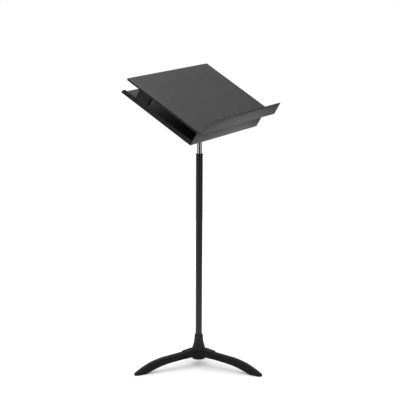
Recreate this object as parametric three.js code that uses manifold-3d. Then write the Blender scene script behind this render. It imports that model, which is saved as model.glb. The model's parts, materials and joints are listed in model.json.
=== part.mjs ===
// Two-tier orchestra music stand: a tripod base, a telescopic post that slides and turns
// in a friction clutch, and a tilting desk with a storage tray under the upper desk.
// Millimetres, +Z up, the player stands on the -Y side and the desk's width runs along X.
// The origin is on the floor, under the middle of the whole stand's bounding box.
import * as THREE from "three";
import { mergeVertices } from "three/addons/utils/BufferGeometryUtils.js";
import Module from "manifold-3d";

const wasm = await Module();
wasm.setup();

// ---------------------------------------------------------------- driving dimensions
const GAP = 0.3; // clearance between pieces that touch
const WELD = 0.4; // how far joined solids run into each other
const OVERCUT = 5; // how far a cutter runs out past what it cuts

// Posture at rest
const TILT = THREE.MathUtils.degToRad(30.2); // desk above the horizontal
const HINGE_Z = 837.3; // height of the tilt axis
const HINGE_TO_TRAY = 24; // from the tilt axis to the tray's underside, square to the tray

// Upper desk, in the desk's frame: y runs up the slope from the tilt axis, z is square to it
const SHEET = 1.2; // sheet thickness of both tiers
const DESK_W = 508;
const DESK_FRONT = -123.5;
const DESK_REAR = 191;
const DESK_Z = 90.6; // underside of the upper desk's sheet
const DESK_HEM = 5.4; // depth of the folded-down edges below the sheet
const LIP_TOP = 139;
const LIP_INSET = 6.5; // the lip ends this far inside the desk's sides
const LIP_LEFT_R = 30; // the lip's left top corner is swept, the right one is nearly square
const LIP_RIGHT_R = 4;
const LIP_SHOULDER = 1; // where the lip starts to narrow, above the desk's face
const HEM_START = 12; // the side hems begin this far behind the lip
const FOLD_R = 2; // centre-line radius of the folds
const CORNER_R = 4; // rear corners of the upper desk, in plan

// Storage tray
const TRAY_W = 450;
const TRAY_FRONT = -97.3;
const TRAY_REAR = 202.2;
const TRAY_SIDE_H = 17;
const TRAY_RETURN = 16; // flange at the top of the tray's lip, which carries the upper desk
const TRAY_CORNER_R = 4;
const TRAY_SIDE_CORNERS = [2, 1.5, 15, 0]; // low front, low rear, top rear, top front

// Side straps between the tray and the upper desk
const STRAP_T = 2;
const STRAP_FRONT = 99;
const STRAP_REAR = 146.7;
const STRAP_BOTTOM = 29;
const STRAP_FLANGE = 20;
const STRAP_STIFFENER = 18; // width of the folded front edge
const STRAP_FOLD_GAP = 2; // between that fold and the tray's side

// Rivets
const RIVET_R = 2;
const RIVET_HEAD_R = 3.6;
const RIVET_HEAD_H = 1.5;
const RIVET_TAIL_R = 3;
const RIVET_TAIL_H = 1.2;
const FLUSH_HEAD_R = 3.3;
const FLUSH_HEAD_H = 0.9;
const RIVET_CLEAR = 0.25;
const RIVET_TAIL_EASE = 0.6; // rounding of a rivet's closed end
const RIVET_DOME = [[0.86, 0.6], [0.45, 1]]; // shares of the head's radius and height
const LIP_RIVET_X = [-160, 0, 160];
const LIP_RIVET_INSET = 9; // behind the tray's lip
const BRACKET_RIVETS = [[-30, -24], [30, -24], [-30, 24], [30, 24]];
const STRAP_RIVET_FROM_FRONT = 14;
const STRAP_RIVET_FROM_REAR = 12;
const STRAP_RIVET_FROM_SIDE = 11;
const STRAP_RIVET_Z = 34.5;

// Tilt bracket, head and bolt
const BRACKET_T = 2.5;
const BRACKET_W = 80;
const BRACKET_LENGTH = 70;
const BRACKET_CORNER_R = 8;
const EAR_INNER = 12; // from the middle to an ear's inner face
const EAR_END_R = 13.5;
const EAR_ROOT = 25; // half length of an ear where it meets the bracket's plate
const EAR_LEAN = 0.12; // turns an ear's edge so that it leaves the round end smoothly
const HEAD_HALF_W = 10; // half width of the mast head's eye
const HEAD_EYE_R = 12;
const HEAD_SHANK = 9;
const HEAD_COLLAR_R = 10.5;
const HEAD_COLLAR_TOP = -15;
const HEAD_COLLAR_BOTTOM = -22;
const HEAD_COLLAR_CHAMFER = 1;
const SPIGOT_LENGTH = 45;
const HEAD_PIN_R = 2;
const HEAD_PIN_DEPTH = 20; // below the inner tube's top
const HEAD_PIN_RECESS = 0.4; // its ends lie this far inside the tube's surface
const TILT_BOLT_R = 4;
const BOLT_CLEAR = 0.3;
const WASHER_T = 1.3;
const TILT_WASHER_R = 11;
const TILT_SPRING_R = 9.5;
const TILT_SPRING_EDGE = 0.9; // height of the dished spring washer's rim
const TILT_SPRING_DISH = 0.5;
const HEX_H = 5.5;
const HEX_R = 7.5;
const BOLT_OVERHANG = 3; // thread that shows past the nut
const BOLT_CHAMFER = 0.8;
const HEX_FLAT = 0.86; // share of a hexagon's radius left flat on its end
const HEX_CHAMFER_H = 1.2;
const LOCK_COLLAR_R = 6.15;
const LOCK_COLLAR_H = 1.5;

// Post
const OUTER_R = 11.3;
const OUTER_WALL = 1.5;
const OUTER_BOTTOM = 36.8;
const OUTER_TOP = 734.5;
const BUSH_TOP = 740.5;
const BUSH_DEPTH = 40; // length of the bushing inside the outer tube
const BUSH_CAP_R = 12;
const BUSH_ROUND = 2.5;
const INNER_R = 8;
const INNER_WALL = 1.2;
const INNER_LENGTH = 560;
const SLIDE_FIT = 0.2; // radial clearance of the sliding pieces

// Clutch at the inner tube's lower end
const PLUG_LENGTH = 26;
const PLUG_FLANGE = 4;
const PLUG_CHAMFER = 1.5; // lead-in of the pieces pressed into the tubes
const PLUG_END_WALL = 6;
const CLUTCH_LENGTH = 44;
const CLUTCH_GROOVE_R = 7.2;
const CLUTCH_RIM = 5; // length of each full-radius end of the clutch body
const CLUTCH_BORE_R = 3.4;
const CLUTCH_CHAMFER = 1;
const SPRING_H = 8;
const SPRING_R = 8.2;
const SPRING_RIM = 1.4; // thickness of the spring washer at its edge
const SPRING_CROWN = 4.6; // its height at the bore
const SPRING_CROWN_R = 4.4;
const SLEEVE_SLOT = 2.4; // slot that lets the friction sleeve spread
const CLUTCH_SCREW_R = 3;
const CLUTCH_SCREW_HEAD_R = 5.2;
const CLUTCH_SCREW_HEAD_H = 4;
const CLUTCH_SCREW_GRIP = 12; // how far the screw runs into the plug
const SCREW_CHAMFER = 0.5;
const SOCKET_R = 0.6; // share of a cap screw's head radius
const SOCKET_FLOOR = 0.45; // share of its head height left under the socket

// Base
const BASE_TURN = -0.6; // degrees the base stands turned from square to the desk
const LEG_ANGLES = { front: BASE_TURN - 90, rear_right: BASE_TURN + 30, rear_left: BASE_TURN + 150 };
const BOSS_R = 26;
const BOSS_BOTTOM = 21.8;
const BOSS_TOP = 57.3;
const BOSS_ROUND = 5;
const BOSS_TOP_ROUND = 3;
const HUB_FLOOR = 36.5; // top of the floor the outer tube stands on
const HUB_RECESS_R = 12.5; // the bolt's head is sunk in the hub's underside
const HUB_RECESS_TOP = 31;
const ARM_START = 22.5;
const ARM_END = 60;
const ARM_TOP_IN = 59.2;
const ARM_TOP_OUT = 54.2;
const ARM_BOTTOM_IN = 33;
const ARM_BOTTOM_OUT = 30.5;
const ARM_WALL = 2.2;
const ARM_CHAMFER = 3;
const POCKET_REACH = 90; // the cutter for a leg's pocket ends out past the arm
const LEG_W = 22;
const LEG_TIP_W = 17;
const LEG_WALL = 2.4;
const LEG_INNER_END = 24;
const LEG_REACH = 248.5;
const LEG_BOTTOM = 3.3; // underside of the leg's foot, above the floor
const LEG_TOE_H = 1.2; // height of the blunt end of the toe
const LEG_NOSE_R = 8;
const LEG_CAVITY_END = 233; // where the channel's hollow ends, behind the closed toe
const LEG_CAVITY_TOE_H = 5; // height of the hollow there
const LEG_SCREW_AT = [32, 50];
const LEG_SCREW_R = 2.4;
const LEG_SCREW_HEAD_R = 4.2;
const LEG_SCREW_HEAD_H = 4.6;
const LEG_SCREW_LENGTH = 4.4;
const LEG_SCREW_TIP_H = 1.8; // depth of the hole in the arm for a screw's tip
const PAD_START = 204;
const PAD_PLUG_START = 207;
const PAD_PLUG_END = 226;
const PAD_PLUG_H = 5;
const PAD_PLUG_CLEAR = 1; // beside the plug, in the channel
const BASE_BOLT_R = 5;
const BASE_BOLT_LENGTH = 34;
const BASE_HEX_R = 8.5;
const BASE_HEX_H = 5.8;
const BASE_PLUG_H = 27;
const BASE_WASHER_R = 11;
const BASE_WASHER_T = 1.6;
const NECK_BASE_R = 23.4;
const NECK_BOTTOM = BOSS_TOP + GAP;
const NECK_TOP = 109.5;
const NECK_PROFILE = [ // [radius, height] up the outside
  [NECK_BASE_R, NECK_BOTTOM], [23.1, 59.2], [21.4, 64], [19.4, 71], [17.3, 79], [15.9, 88],
  [15.2, 97], [14.8, 104], [13.9, 107.4], [12.1, NECK_TOP],
];

// Smoothness
const ROUND = 32; // sides of a tube
const SMALL_ROUND = 16; // sides of bolts and washers
const RIVET_ROUND = 8;
const ARC_STEPS = 6; // steps in a drawn arc
const FOLD_STEPS = 3; // steps in a fold of a sheet

// The post stands this far behind the origin, so that the bounding box is centred on it.
const TRAY_REACH = TRAY_REAR * Math.cos(TILT) - HINGE_TO_TRAY * Math.sin(TILT);
const POST_Y = (LEG_REACH - TRAY_REACH) / 2;

// ---------------------------------------------------------------- finishes
const finish = (color, roughness, metalness) =>
  new THREE.MeshStandardMaterial({ color, roughness, metalness });
const BLACK_STEEL = finish(0x2b2b2d, 0.55, 0.3);
const BLACK_CAST = finish(0x242426, 0.6, 0.2);
const CHROME = finish(0xc8cacc, 0.15, 1);
const ZINC = finish(0x8d8f92, 0.4, 1);
const BLACK_PLASTIC = finish(0x1b1b1c, 0.5, 0);
const NATURAL_NYLON = finish(0xc9c4b4, 0.6, 0);
const RUBBER = finish(0x151515, 0.9, 0);

// ---------------------------------------------------------------- solids
// A closed three.js geometry as a solid for cutting and joining.
function solid(geometry) {
  const bare = new THREE.BufferGeometry();
  bare.setAttribute("position", geometry.getAttribute("position").clone());
  if (geometry.index) bare.setIndex(geometry.index.clone());
  const merged = mergeVertices(bare, 1e-4);
  const corners = merged.index.array;
  const kept = [];
  for (let i = 0; i < corners.length; i += 3) {
    const [a, b, c] = [corners[i], corners[i + 1], corners[i + 2]];
    if (a !== b && b !== c && c !== a) kept.push(a, b, c);
  }
  const vertProperties = merged.attributes.position.array;
  return new wasm.Manifold(
    new wasm.Mesh({ numProp: 3, vertProperties, triVerts: new Uint32Array(kept) }),
  );
}

// A solid as a geometry.
function surface(made) {
  const { vertProperties, triVerts } = made.getMesh();
  return new THREE.BufferGeometry()
    .setAttribute("position", new THREE.BufferAttribute(vertProperties, 3))
    .setIndex(new THREE.BufferAttribute(triVerts, 1));
}

const join = (first, ...others) => others.reduce((a, b) => a.add(b), first);
const cut = (first, ...others) => others.reduce((a, b) => a.subtract(b), first);

function block([x0, y0, z0], [x1, y1, z1]) {
  const box = new THREE.BoxGeometry(x1 - x0, y1 - y0, z1 - z0);
  return solid(box.translate((x0 + x1) / 2, (y0 + y1) / 2, (z0 + z1) / 2));
}

// A cylinder along Z. Six sides make a hexagon.
function rod(radius, z0, z1, sides = SMALL_ROUND) {
  const cylinder = new THREE.CylinderGeometry(radius, radius, z1 - z0, sides);
  return solid(cylinder.rotateX(Math.PI / 2).translate(0, 0, (z0 + z1) / 2));
}

// A rod along X that drills through a piece of the post or the head.
const crossBore = (radius) => rod(radius, -30, 30).rotate([0, 90, 0]);

// A solid of revolution about Z from [radius, z] points, going up on the outside.
function turned(points, sides = SMALL_ROUND) {
  const profile = points.map(([r, z]) => new THREE.Vector2(r, z));
  return solid(new THREE.LatheGeometry(profile, sides).rotateX(Math.PI / 2));
}

function ring(inner, outer, z0, z1, sides = SMALL_ROUND) {
  const profile = [[inner, z0], [outer, z0], [outer, z1], [inner, z1], [inner, z0]];
  return turned(profile, sides);
}

const extruded = (shape, depth) =>
  new THREE.ExtrudeGeometry(shape, { depth, bevelEnabled: false, curveSegments: ARC_STEPS });

// An outline in (x, y) extruded upwards from z0 to z1.
const planSolid = (shape, z0, z1) => solid(extruded(shape, z1 - z0).translate(0, 0, z0));

// An outline in (x, z) extruded along Y, centred on y = 0 unless moved by y.
const frontSolid = (shape, width, y = 0) =>
  solid(extruded(shape, width).rotateX(Math.PI / 2).translate(0, width / 2 + y, 0));

// An outline in (y, z) extruded along X, centred on x = 0 unless moved by x.
function sideSolid(shape, width, x = 0) {
  const turn = new THREE.Matrix4().makeBasis(
    new THREE.Vector3(0, 1, 0),
    new THREE.Vector3(0, 0, 1),
    new THREE.Vector3(1, 0, 0),
  );
  return solid(extruded(shape, width).applyMatrix4(turn).translate(x - width / 2, 0, 0));
}

const outline = (points) => new THREE.Shape(points.map(([a, b]) => new THREE.Vector2(a, b)));

// A rectangle with its own radius at each corner: low left, low right, top right, top left.
function roundedRect([x0, y0], [x1, y1], [r0, r1, r2, r3]) {
  const shape = new THREE.Shape();
  const quarter = Math.PI / 2;
  const corner = (x, y, r, start) => {
    if (r > 0) shape.absarc(x, y, r, start, start + quarter, false);
    else shape.lineTo(x, y);
  };
  shape.moveTo(x0 + r0, y0);
  corner(x1 - r1, y0 + r1, r1, -quarter);
  corner(x1 - r2, y1 - r2, r2, 0);
  corner(x0 + r3, y1 - r3, r3, quarter);
  corner(x0 + r0, y0 + r0, r0, 2 * quarter);
  return shape;
}

// The cross-section of a folded sheet: its centre line with rounded folds, thickened.
function foldedSheet(points, thickness, radius) {
  const line = points.map(([a, b]) => new THREE.Vector2(a, b));
  const centre = [line[0]];
  for (let i = 1; i < line.length - 1; i++) {
    const into = line[i].clone().sub(line[i - 1]).normalize();
    const out = line[i + 1].clone().sub(line[i]).normalize();
    const start = line[i].clone().addScaledVector(into, -radius);
    const middle = start.clone().addScaledVector(out, radius);
    for (let s = 0; s <= FOLD_STEPS; s++) {
      const angle = (s / FOLD_STEPS) * (Math.PI / 2);
      centre.push(
        middle.clone()
          .addScaledVector(out, -radius * Math.cos(angle))
          .addScaledVector(into, radius * Math.sin(angle)),
      );
    }
  }
  centre.push(line[line.length - 1]);
  const side = (sign) =>
    centre.map((point, i) => {
      const before = centre[Math.max(i - 1, 0)];
      const after = centre[Math.min(i + 1, centre.length - 1)];
      const along = after.clone().sub(before).normalize();
      const across = new THREE.Vector2(-along.y, along.x);
      return point.clone().addScaledVector(across, (sign * thickness) / 2);
    });
  return new THREE.Shape([...side(-1), ...side(1).reverse()]);
}

// ---------------------------------------------------------------- the scene graph
const stand = new THREE.Group();
const post = new THREE.Group(); // the post's axis
post.position.set(0, POST_Y, 0);
const desk = new THREE.Group(); // turns about the tilt axis
desk.position.set(0, 0, HINGE_Z);
desk.rotation.x = TILT;
const head = new THREE.Group(); // upright, centred on the tilt axis
head.position.set(0, 0, HINGE_Z);
post.add(desk, head);
stand.add(post);

function place(parent, name, made, material, position = [0, 0, 0], rotation = [0, 0, 0]) {
  const mesh = new THREE.Mesh(surface(made), material);
  mesh.name = name;
  mesh.position.set(...position);
  mesh.rotation.set(...rotation);
  parent.add(mesh);
}

// ---------------------------------------------------------------- base
// The top edge of a leg, or any curve, as points for an outline.
const smooth = (points, steps) =>
  new THREE.SplineCurve(points.map(([a, b]) => new THREE.Vector2(a, b)))
    .getPoints(steps)
    .map((p) => [p.x, p.y]);

const LEG_TOP = smooth(
  [
    [LEG_INNER_END, 56.2], [42, 53.9], [68, 51.4], [107, 48.3], [146, 44.5], [184, 35.8],
    [217, 22.3], [243, 8.4],
  ],
  12,
);
const LEG_UNDER = smooth(
  [
    [LEG_INNER_END, 34.4], [57, 30.8], [110, 25.6], [138, 21.8], [157, 17.6], [177, 11.4],
    [201, LEG_BOTTOM],
  ],
  9,
);

// Height of a leg's top edge at a distance from the post's axis.
function legTopAt(r) {
  const next = LEG_TOP.findIndex(([x]) => x > r);
  const [[x0, z0], [x1, z1]] = [LEG_TOP[next - 1], LEG_TOP[next]];
  return z0 + ((r - x0) / (x1 - x0)) * (z1 - z0);
}

// The plan view of a leg's foot end, with a rounded nose.
const noseOutline = (start, halfWidth) =>
  roundedRect([start, -halfWidth], [LEG_REACH, halfWidth], [0, LEG_NOSE_R, LEG_NOSE_R, 0]);

// Narrows a leg from its full width at the hub to LEG_TIP_W at the tip.
function tapered(geometry) {
  const position = geometry.getAttribute("position");
  for (let i = 0; i < position.count; i++) {
    const along = THREE.MathUtils.clamp((position.getX(i) - ARM_END) / (LEG_REACH - ARM_END), 0, 1);
    const share = THREE.MathUtils.lerp(1, LEG_TIP_W / LEG_W, along);
    position.setY(i, position.getY(i) * share);
  }
  return geometry;
}

// A leg lies along +X: an upside-down channel with a closed, rounded toe.
function makeLeg() {
  const toe = [[LEG_REACH, LEG_BOTTOM + LEG_TOE_H], [LEG_REACH, LEG_BOTTOM]];
  const outer = outline([...LEG_TOP, ...toe, ...[...LEG_UNDER].reverse()]);
  const roofEnd = LEG_CAVITY_END - LEG_NOSE_R;
  const roof = LEG_TOP.filter(([r]) => r < roofEnd).map(([r, z]) => [r, z - LEG_WALL]);
  const start = LEG_INNER_END - OVERCUT;
  const under = LEG_BOTTOM - OVERCUT;
  const inner = outline([
    [start, roof[0][1]], ...roof, [LEG_CAVITY_END, LEG_BOTTOM + LEG_CAVITY_TOE_H],
    [LEG_CAVITY_END, under], [start, under],
  ]);
  const sideView = (shape, width) =>
    solid(tapered(extruded(shape, width).rotateX(Math.PI / 2).translate(0, width / 2, 0)));
  const channel = cut(sideView(outer, LEG_W), sideView(inner, LEG_W - 2 * LEG_WALL));
  const noses = planSolid(noseOutline(0, LEG_W), -OVERCUT, BOSS_TOP + OVERCUT);
  const holes = LEG_SCREW_AT.map((r) => {
    const top = legTopAt(r);
    return rod(LEG_SCREW_R + BOLT_CLEAR, top - LEG_WALL - OVERCUT, top + OVERCUT).translate([r, 0, 0]);
  });
  return cut(channel.intersect(noses), ...holes);
}

// The rubber pad under a toe, with a plug that fills the channel above it.
function makePad() {
  const halfWidth = LEG_TIP_W / 2;
  const soleTop = LEG_BOTTOM - GAP;
  const sole = planSolid(noseOutline(PAD_START, halfWidth), 0, soleTop);
  const plugHalf = halfWidth - LEG_WALL - PAD_PLUG_CLEAR;
  const plug = block(
    [PAD_PLUG_START, -plugHalf, soleTop - WELD],
    [PAD_PLUG_END, plugHalf, LEG_BOTTOM + PAD_PLUG_H],
  );
  return join(sole, plug);
}

// How far inside a corner the middle of its rounding lies.
const roundingDepth = (radius) => radius * (1 - Math.SQRT1_2);

function makeHub() {
  const low = roundingDepth(BOSS_ROUND);
  const high = roundingDepth(BOSS_TOP_ROUND);
  const boss = turned(
    [
      [0, BOSS_BOTTOM], [BOSS_R - BOSS_ROUND, BOSS_BOTTOM], [BOSS_R - low, BOSS_BOTTOM + low],
      [BOSS_R, BOSS_BOTTOM + BOSS_ROUND], [BOSS_R, BOSS_TOP - BOSS_TOP_ROUND],
      [BOSS_R - high, BOSS_TOP - high], [BOSS_R - BOSS_TOP_ROUND, BOSS_TOP], [0, BOSS_TOP],
    ],
    ROUND,
  );
  const armWidth = LEG_W + 2 * (ARM_WALL + GAP);
  const armSide = outline([
    [ARM_START, ARM_BOTTOM_IN], [ARM_END, ARM_BOTTOM_OUT], [ARM_END, ARM_TOP_OUT - ARM_CHAMFER],
    [ARM_END - ARM_CHAMFER, ARM_TOP_OUT], [ARM_START, ARM_TOP_IN],
  ]);
  const pocketEnd = LEG_INNER_END - GAP;
  const pocketTop = LEG_TOP.filter(([r]) => r < POCKET_REACH).map(([r, z]) => [r, z + GAP]);
  const below = BOSS_BOTTOM - OVERCUT;
  const above = BOSS_TOP + OVERCUT;
  const pocketSide = outline([
    [pocketEnd, below], [POCKET_REACH, below], ...pocketTop.reverse(),
    [pocketEnd, legTopAt(LEG_INNER_END) + GAP],
  ]);
  const arm = frontSolid(armSide, armWidth);
  const pocket = frontSolid(pocketSide, LEG_W + 2 * GAP);
  const tips = LEG_SCREW_AT.map((r) =>
    rod(LEG_SCREW_R + BOLT_CLEAR, legTopAt(r) - LEG_WALL, legTopAt(r) + LEG_SCREW_TIP_H)
      .translate([r, 0, 0]),
  );
  let hub = boss;
  for (const angle of Object.values(LEG_ANGLES)) hub = hub.add(arm.rotate([0, 0, angle]));
  for (const angle of Object.values(LEG_ANGLES)) {
    hub = cut(hub, pocket.rotate([0, 0, angle]), ...tips.map((tip) => tip.rotate([0, 0, angle])));
  }
  return cut(
    hub,
    rod(NECK_BASE_R + GAP, BOSS_TOP, above, ROUND),
    rod(OUTER_R + GAP, HUB_FLOOR, above, ROUND),
    rod(HUB_RECESS_R, below, HUB_RECESS_TOP, ROUND),
    rod(BASE_BOLT_R + BOLT_CLEAR, below, HUB_FLOOR + OVERCUT),
  );
}

function makeNeck() {
  const inner = OUTER_R + GAP;
  const profile = [[inner, NECK_BOTTOM], ...NECK_PROFILE, [inner, NECK_TOP], [inner, NECK_BOTTOM]];
  return turned(profile, ROUND);
}

// A cap screw standing on z = 0 with its shank up and its socket below.
function makeCapScrew(radius, length, headRadius, headHeight) {
  const body = turned([
    [0, -headHeight], [headRadius - SCREW_CHAMFER, -headHeight],
    [headRadius, -headHeight + SCREW_CHAMFER], [headRadius, 0], [radius, 0],
    [radius, length - SCREW_CHAMFER], [radius - SCREW_CHAMFER, length], [0, length],
  ]);
  const socket = rod(headRadius * SOCKET_R, -headHeight - OVERCUT, -headHeight * SOCKET_FLOOR, 6);
  return cut(body, socket);
}

// A hexagon-headed bolt standing on z = 0 with its shank up.
function makeHexBolt(radius, length, hexRadius, hexHeight) {
  const shank = turned([
    [0, -WELD], [radius, -WELD], [radius, length - BOLT_CHAMFER], [radius - BOLT_CHAMFER, length],
    [0, length],
  ]);
  const wide = hexRadius + WELD;
  const chamfer = turned([
    [0, -hexHeight], [hexRadius * HEX_FLAT, -hexHeight], [wide, -hexHeight + HEX_CHAMFER_H],
    [wide, 0], [0, 0],
  ]);
  return join(rod(hexRadius, -hexHeight, 0, 6).intersect(chamfer), shank);
}

function buildBase() {
  place(post, "base_hub", makeHub(), BLACK_CAST);
  place(post, "neck_sleeve", makeNeck(), BLACK_PLASTIC);
  for (const [where, angle] of Object.entries(LEG_ANGLES)) {
    const side = new THREE.Group();
    side.rotation.z = THREE.MathUtils.degToRad(angle);
    post.add(side);
    place(side, `leg_${where}`, makeLeg(), BLACK_STEEL);
    place(side, `foot_pad_${where}`, makePad(), RUBBER);
    LEG_SCREW_AT.forEach((r, i) => {
      const seat = legTopAt(r) - LEG_WALL - 2 * GAP;
      const screw = makeCapScrew(LEG_SCREW_R, LEG_SCREW_LENGTH, LEG_SCREW_HEAD_R, LEG_SCREW_HEAD_H);
      place(side, `leg_screw_${where}_${i + 1}`, screw, ZINC, [r, 0, seat]);
    });
  }
  const washerTop = HUB_RECESS_TOP - GAP;
  const washer = ring(BASE_BOLT_R + BOLT_CLEAR, BASE_WASHER_R, -BASE_WASHER_T, 0);
  place(post, "base_washer", washer, ZINC, [0, 0, washerTop]);
  const bolt = makeHexBolt(BASE_BOLT_R, BASE_BOLT_LENGTH, BASE_HEX_R, BASE_HEX_H);
  place(post, "base_bolt", bolt, ZINC, [0, 0, washerTop - BASE_WASHER_T - GAP]);
}

// ---------------------------------------------------------------- post
function buildPost() {
  const bore = OUTER_R - OUTER_WALL;
  place(post, "outer_tube", ring(bore, OUTER_R, OUTER_BOTTOM, OUTER_TOP, ROUND), BLACK_STEEL);
  const plug = ring(BASE_BOLT_R + BOLT_CLEAR, bore - GAP, OUTER_BOTTOM, OUTER_BOTTOM + BASE_PLUG_H);
  place(post, "base_tube_plug", plug, ZINC);
  const guide = INNER_R + SLIDE_FIT;
  const low = OUTER_TOP - BUSH_DEPTH;
  const seat = OUTER_TOP + GAP;
  const edge = roundingDepth(BUSH_ROUND);
  const bushing = turned(
    [
      [guide, low], [bore - GAP, low], [bore - GAP, seat], [BUSH_CAP_R, seat],
      [BUSH_CAP_R, BUSH_TOP - BUSH_ROUND], [BUSH_CAP_R - edge, BUSH_TOP - edge],
      [BUSH_CAP_R - BUSH_ROUND, BUSH_TOP], [guide, BUSH_TOP], [guide, low],
    ],
    ROUND,
  );
  place(post, "post_bushing", bushing, BLACK_PLASTIC);

  const innerBore = INNER_R - INNER_WALL;
  const innerTop = HINGE_Z + HEAD_COLLAR_BOTTOM - GAP;
  const innerBottom = innerTop - INNER_LENGTH;
  const pinZ = innerTop - HEAD_PIN_DEPTH;
  const pinHalf = INNER_R - HEAD_PIN_RECESS;
  const crossHole = crossBore(HEAD_PIN_R + RIVET_CLEAR).translate([0, 0, pinZ]);
  const inner = cut(ring(innerBore, INNER_R, innerBottom, innerTop, ROUND), crossHole);
  place(post, "inner_tube", inner, CHROME);
  const pin = rod(HEAD_PIN_R, -pinHalf, pinHalf);
  place(post, "head_pin", pin, ZINC, [0, 0, pinZ], [0, Math.PI / 2, 0]);
  buildClutch(innerBottom, innerBore, bore);
  buildHead(innerBore, pinZ - HINGE_Z);
}

// The clutch: a plug in the inner tube carries a screw on which the clutch body turns.
// The body's sleeve rubs on the outer tube, so the post stays at the height it is set to.
function buildClutch(tubeEnd, tubeBore, outerBore) {
  const plug = turned([
    [0, -PLUG_FLANGE], [INNER_R, -PLUG_FLANGE], [INNER_R, -GAP], [tubeBore - GAP, -GAP],
    [tubeBore - GAP, PLUG_LENGTH - PLUG_CHAMFER], [tubeBore - PLUG_CHAMFER, PLUG_LENGTH],
    [0, PLUG_LENGTH],
  ]);
  const holeEnd = PLUG_LENGTH - PLUG_END_WALL;
  const threadHole = rod(CLUTCH_SCREW_R + BOLT_CLEAR, -PLUG_FLANGE - OVERCUT, holeEnd);
  place(post, "clutch_plug", cut(plug, threadHole), ZINC, [0, 0, tubeEnd]);

  const bodyTop = tubeEnd - PLUG_FLANGE - SPRING_H - 2 * GAP;
  const spring = turned([
    [CLUTCH_BORE_R, 0], [SPRING_R, 0], [SPRING_R, SPRING_RIM], [SPRING_CROWN_R, SPRING_CROWN],
    [CLUTCH_BORE_R, SPRING_CROWN], [CLUTCH_BORE_R, 0],
  ]);
  place(post, "clutch_spring_washer", spring, ZINC, [0, 0, bodyTop + GAP]);

  const rimR = outerBore - SLIDE_FIT;
  const faceR = rimR - CLUTCH_CHAMFER;
  const body = turned([
    [CLUTCH_BORE_R, -CLUTCH_LENGTH], [faceR, -CLUTCH_LENGTH],
    [rimR, -CLUTCH_LENGTH + CLUTCH_CHAMFER], [rimR, -CLUTCH_LENGTH + CLUTCH_RIM],
    [CLUTCH_GROOVE_R, -CLUTCH_LENGTH + CLUTCH_RIM], [CLUTCH_GROOVE_R, -CLUTCH_RIM],
    [rimR, -CLUTCH_RIM], [rimR, -CLUTCH_CHAMFER], [faceR, 0], [CLUTCH_BORE_R, 0],
    [CLUTCH_BORE_R, -CLUTCH_LENGTH],
  ]);
  place(post, "clutch_body", body, BLACK_PLASTIC, [0, 0, bodyTop]);

  const sleeveLow = -CLUTCH_LENGTH + CLUTCH_RIM + GAP;
  const sleeve = cut(
    ring(CLUTCH_GROOVE_R + GAP, outerBore - SLIDE_FIT / 2, sleeveLow, -CLUTCH_RIM - GAP, ROUND),
    block([0, -SLEEVE_SLOT / 2, -CLUTCH_LENGTH], [OUTER_R, SLEEVE_SLOT / 2, 0]),
  );
  place(post, "clutch_friction_sleeve", sleeve, NATURAL_NYLON, [0, 0, bodyTop]);

  const screwLength = CLUTCH_LENGTH + SPRING_H + PLUG_FLANGE + CLUTCH_SCREW_GRIP;
  const screw = makeCapScrew(CLUTCH_SCREW_R, screwLength, CLUTCH_SCREW_HEAD_R, CLUTCH_SCREW_HEAD_H);
  place(post, "clutch_screw", screw, ZINC, [0, 0, bodyTop - CLUTCH_LENGTH - GAP]);
}

// ---------------------------------------------------------------- tilt head
// The mast head: an eye for the tilt bolt over a collar and a spigot in the inner tube.
function buildHead(tubeBore, pinAt) {
  const eye = new THREE.Shape();
  eye.moveTo(-HEAD_SHANK, HEAD_COLLAR_TOP - WELD);
  eye.lineTo(HEAD_SHANK, HEAD_COLLAR_TOP - WELD);
  const grip = Math.acos(HEAD_SHANK / HEAD_EYE_R);
  eye.absarc(0, 0, HEAD_EYE_R, -grip, Math.PI + grip, false);
  const collarFaceR = HEAD_COLLAR_R - HEAD_COLLAR_CHAMFER;
  const collar = turned([
    [0, HEAD_COLLAR_BOTTOM], [collarFaceR, HEAD_COLLAR_BOTTOM],
    [HEAD_COLLAR_R, HEAD_COLLAR_BOTTOM + HEAD_COLLAR_CHAMFER],
    [HEAD_COLLAR_R, HEAD_COLLAR_TOP - HEAD_COLLAR_CHAMFER], [collarFaceR, HEAD_COLLAR_TOP],
    [0, HEAD_COLLAR_TOP],
  ]);
  const spigotR = tubeBore - GAP;
  const spigotLow = HEAD_COLLAR_BOTTOM - SPIGOT_LENGTH;
  const spigot = turned([
    [0, spigotLow], [spigotR - PLUG_CHAMFER, spigotLow], [spigotR, spigotLow + PLUG_CHAMFER],
    [spigotR, HEAD_COLLAR_BOTTOM + WELD], [0, HEAD_COLLAR_BOTTOM + WELD],
  ]);
  const boltHole = crossBore(TILT_BOLT_R + BOLT_CLEAR);
  const pinHole = crossBore(HEAD_PIN_R + RIVET_CLEAR).translate([0, 0, pinAt]);
  const made = cut(join(sideSolid(eye, 2 * HEAD_HALF_W), collar, spigot), boltHole, pinHole);
  place(head, "mast_head", made, BLACK_CAST);
}

// A flat ear with a round end at the tilt axis, widening to the bracket's plate.
function earOutline(plateZ) {
  const slope = Math.atan2(plateZ, EAR_ROOT - EAR_END_R) - EAR_LEAN;
  const swing = Math.PI / 2 - slope;
  const shape = new THREE.Shape();
  shape.absarc(0, 0, EAR_END_R, Math.PI + swing, 2 * Math.PI - swing, false);
  shape.lineTo(EAR_ROOT, plateZ);
  shape.lineTo(-EAR_ROOT, plateZ);
  return shape;
}

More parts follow.
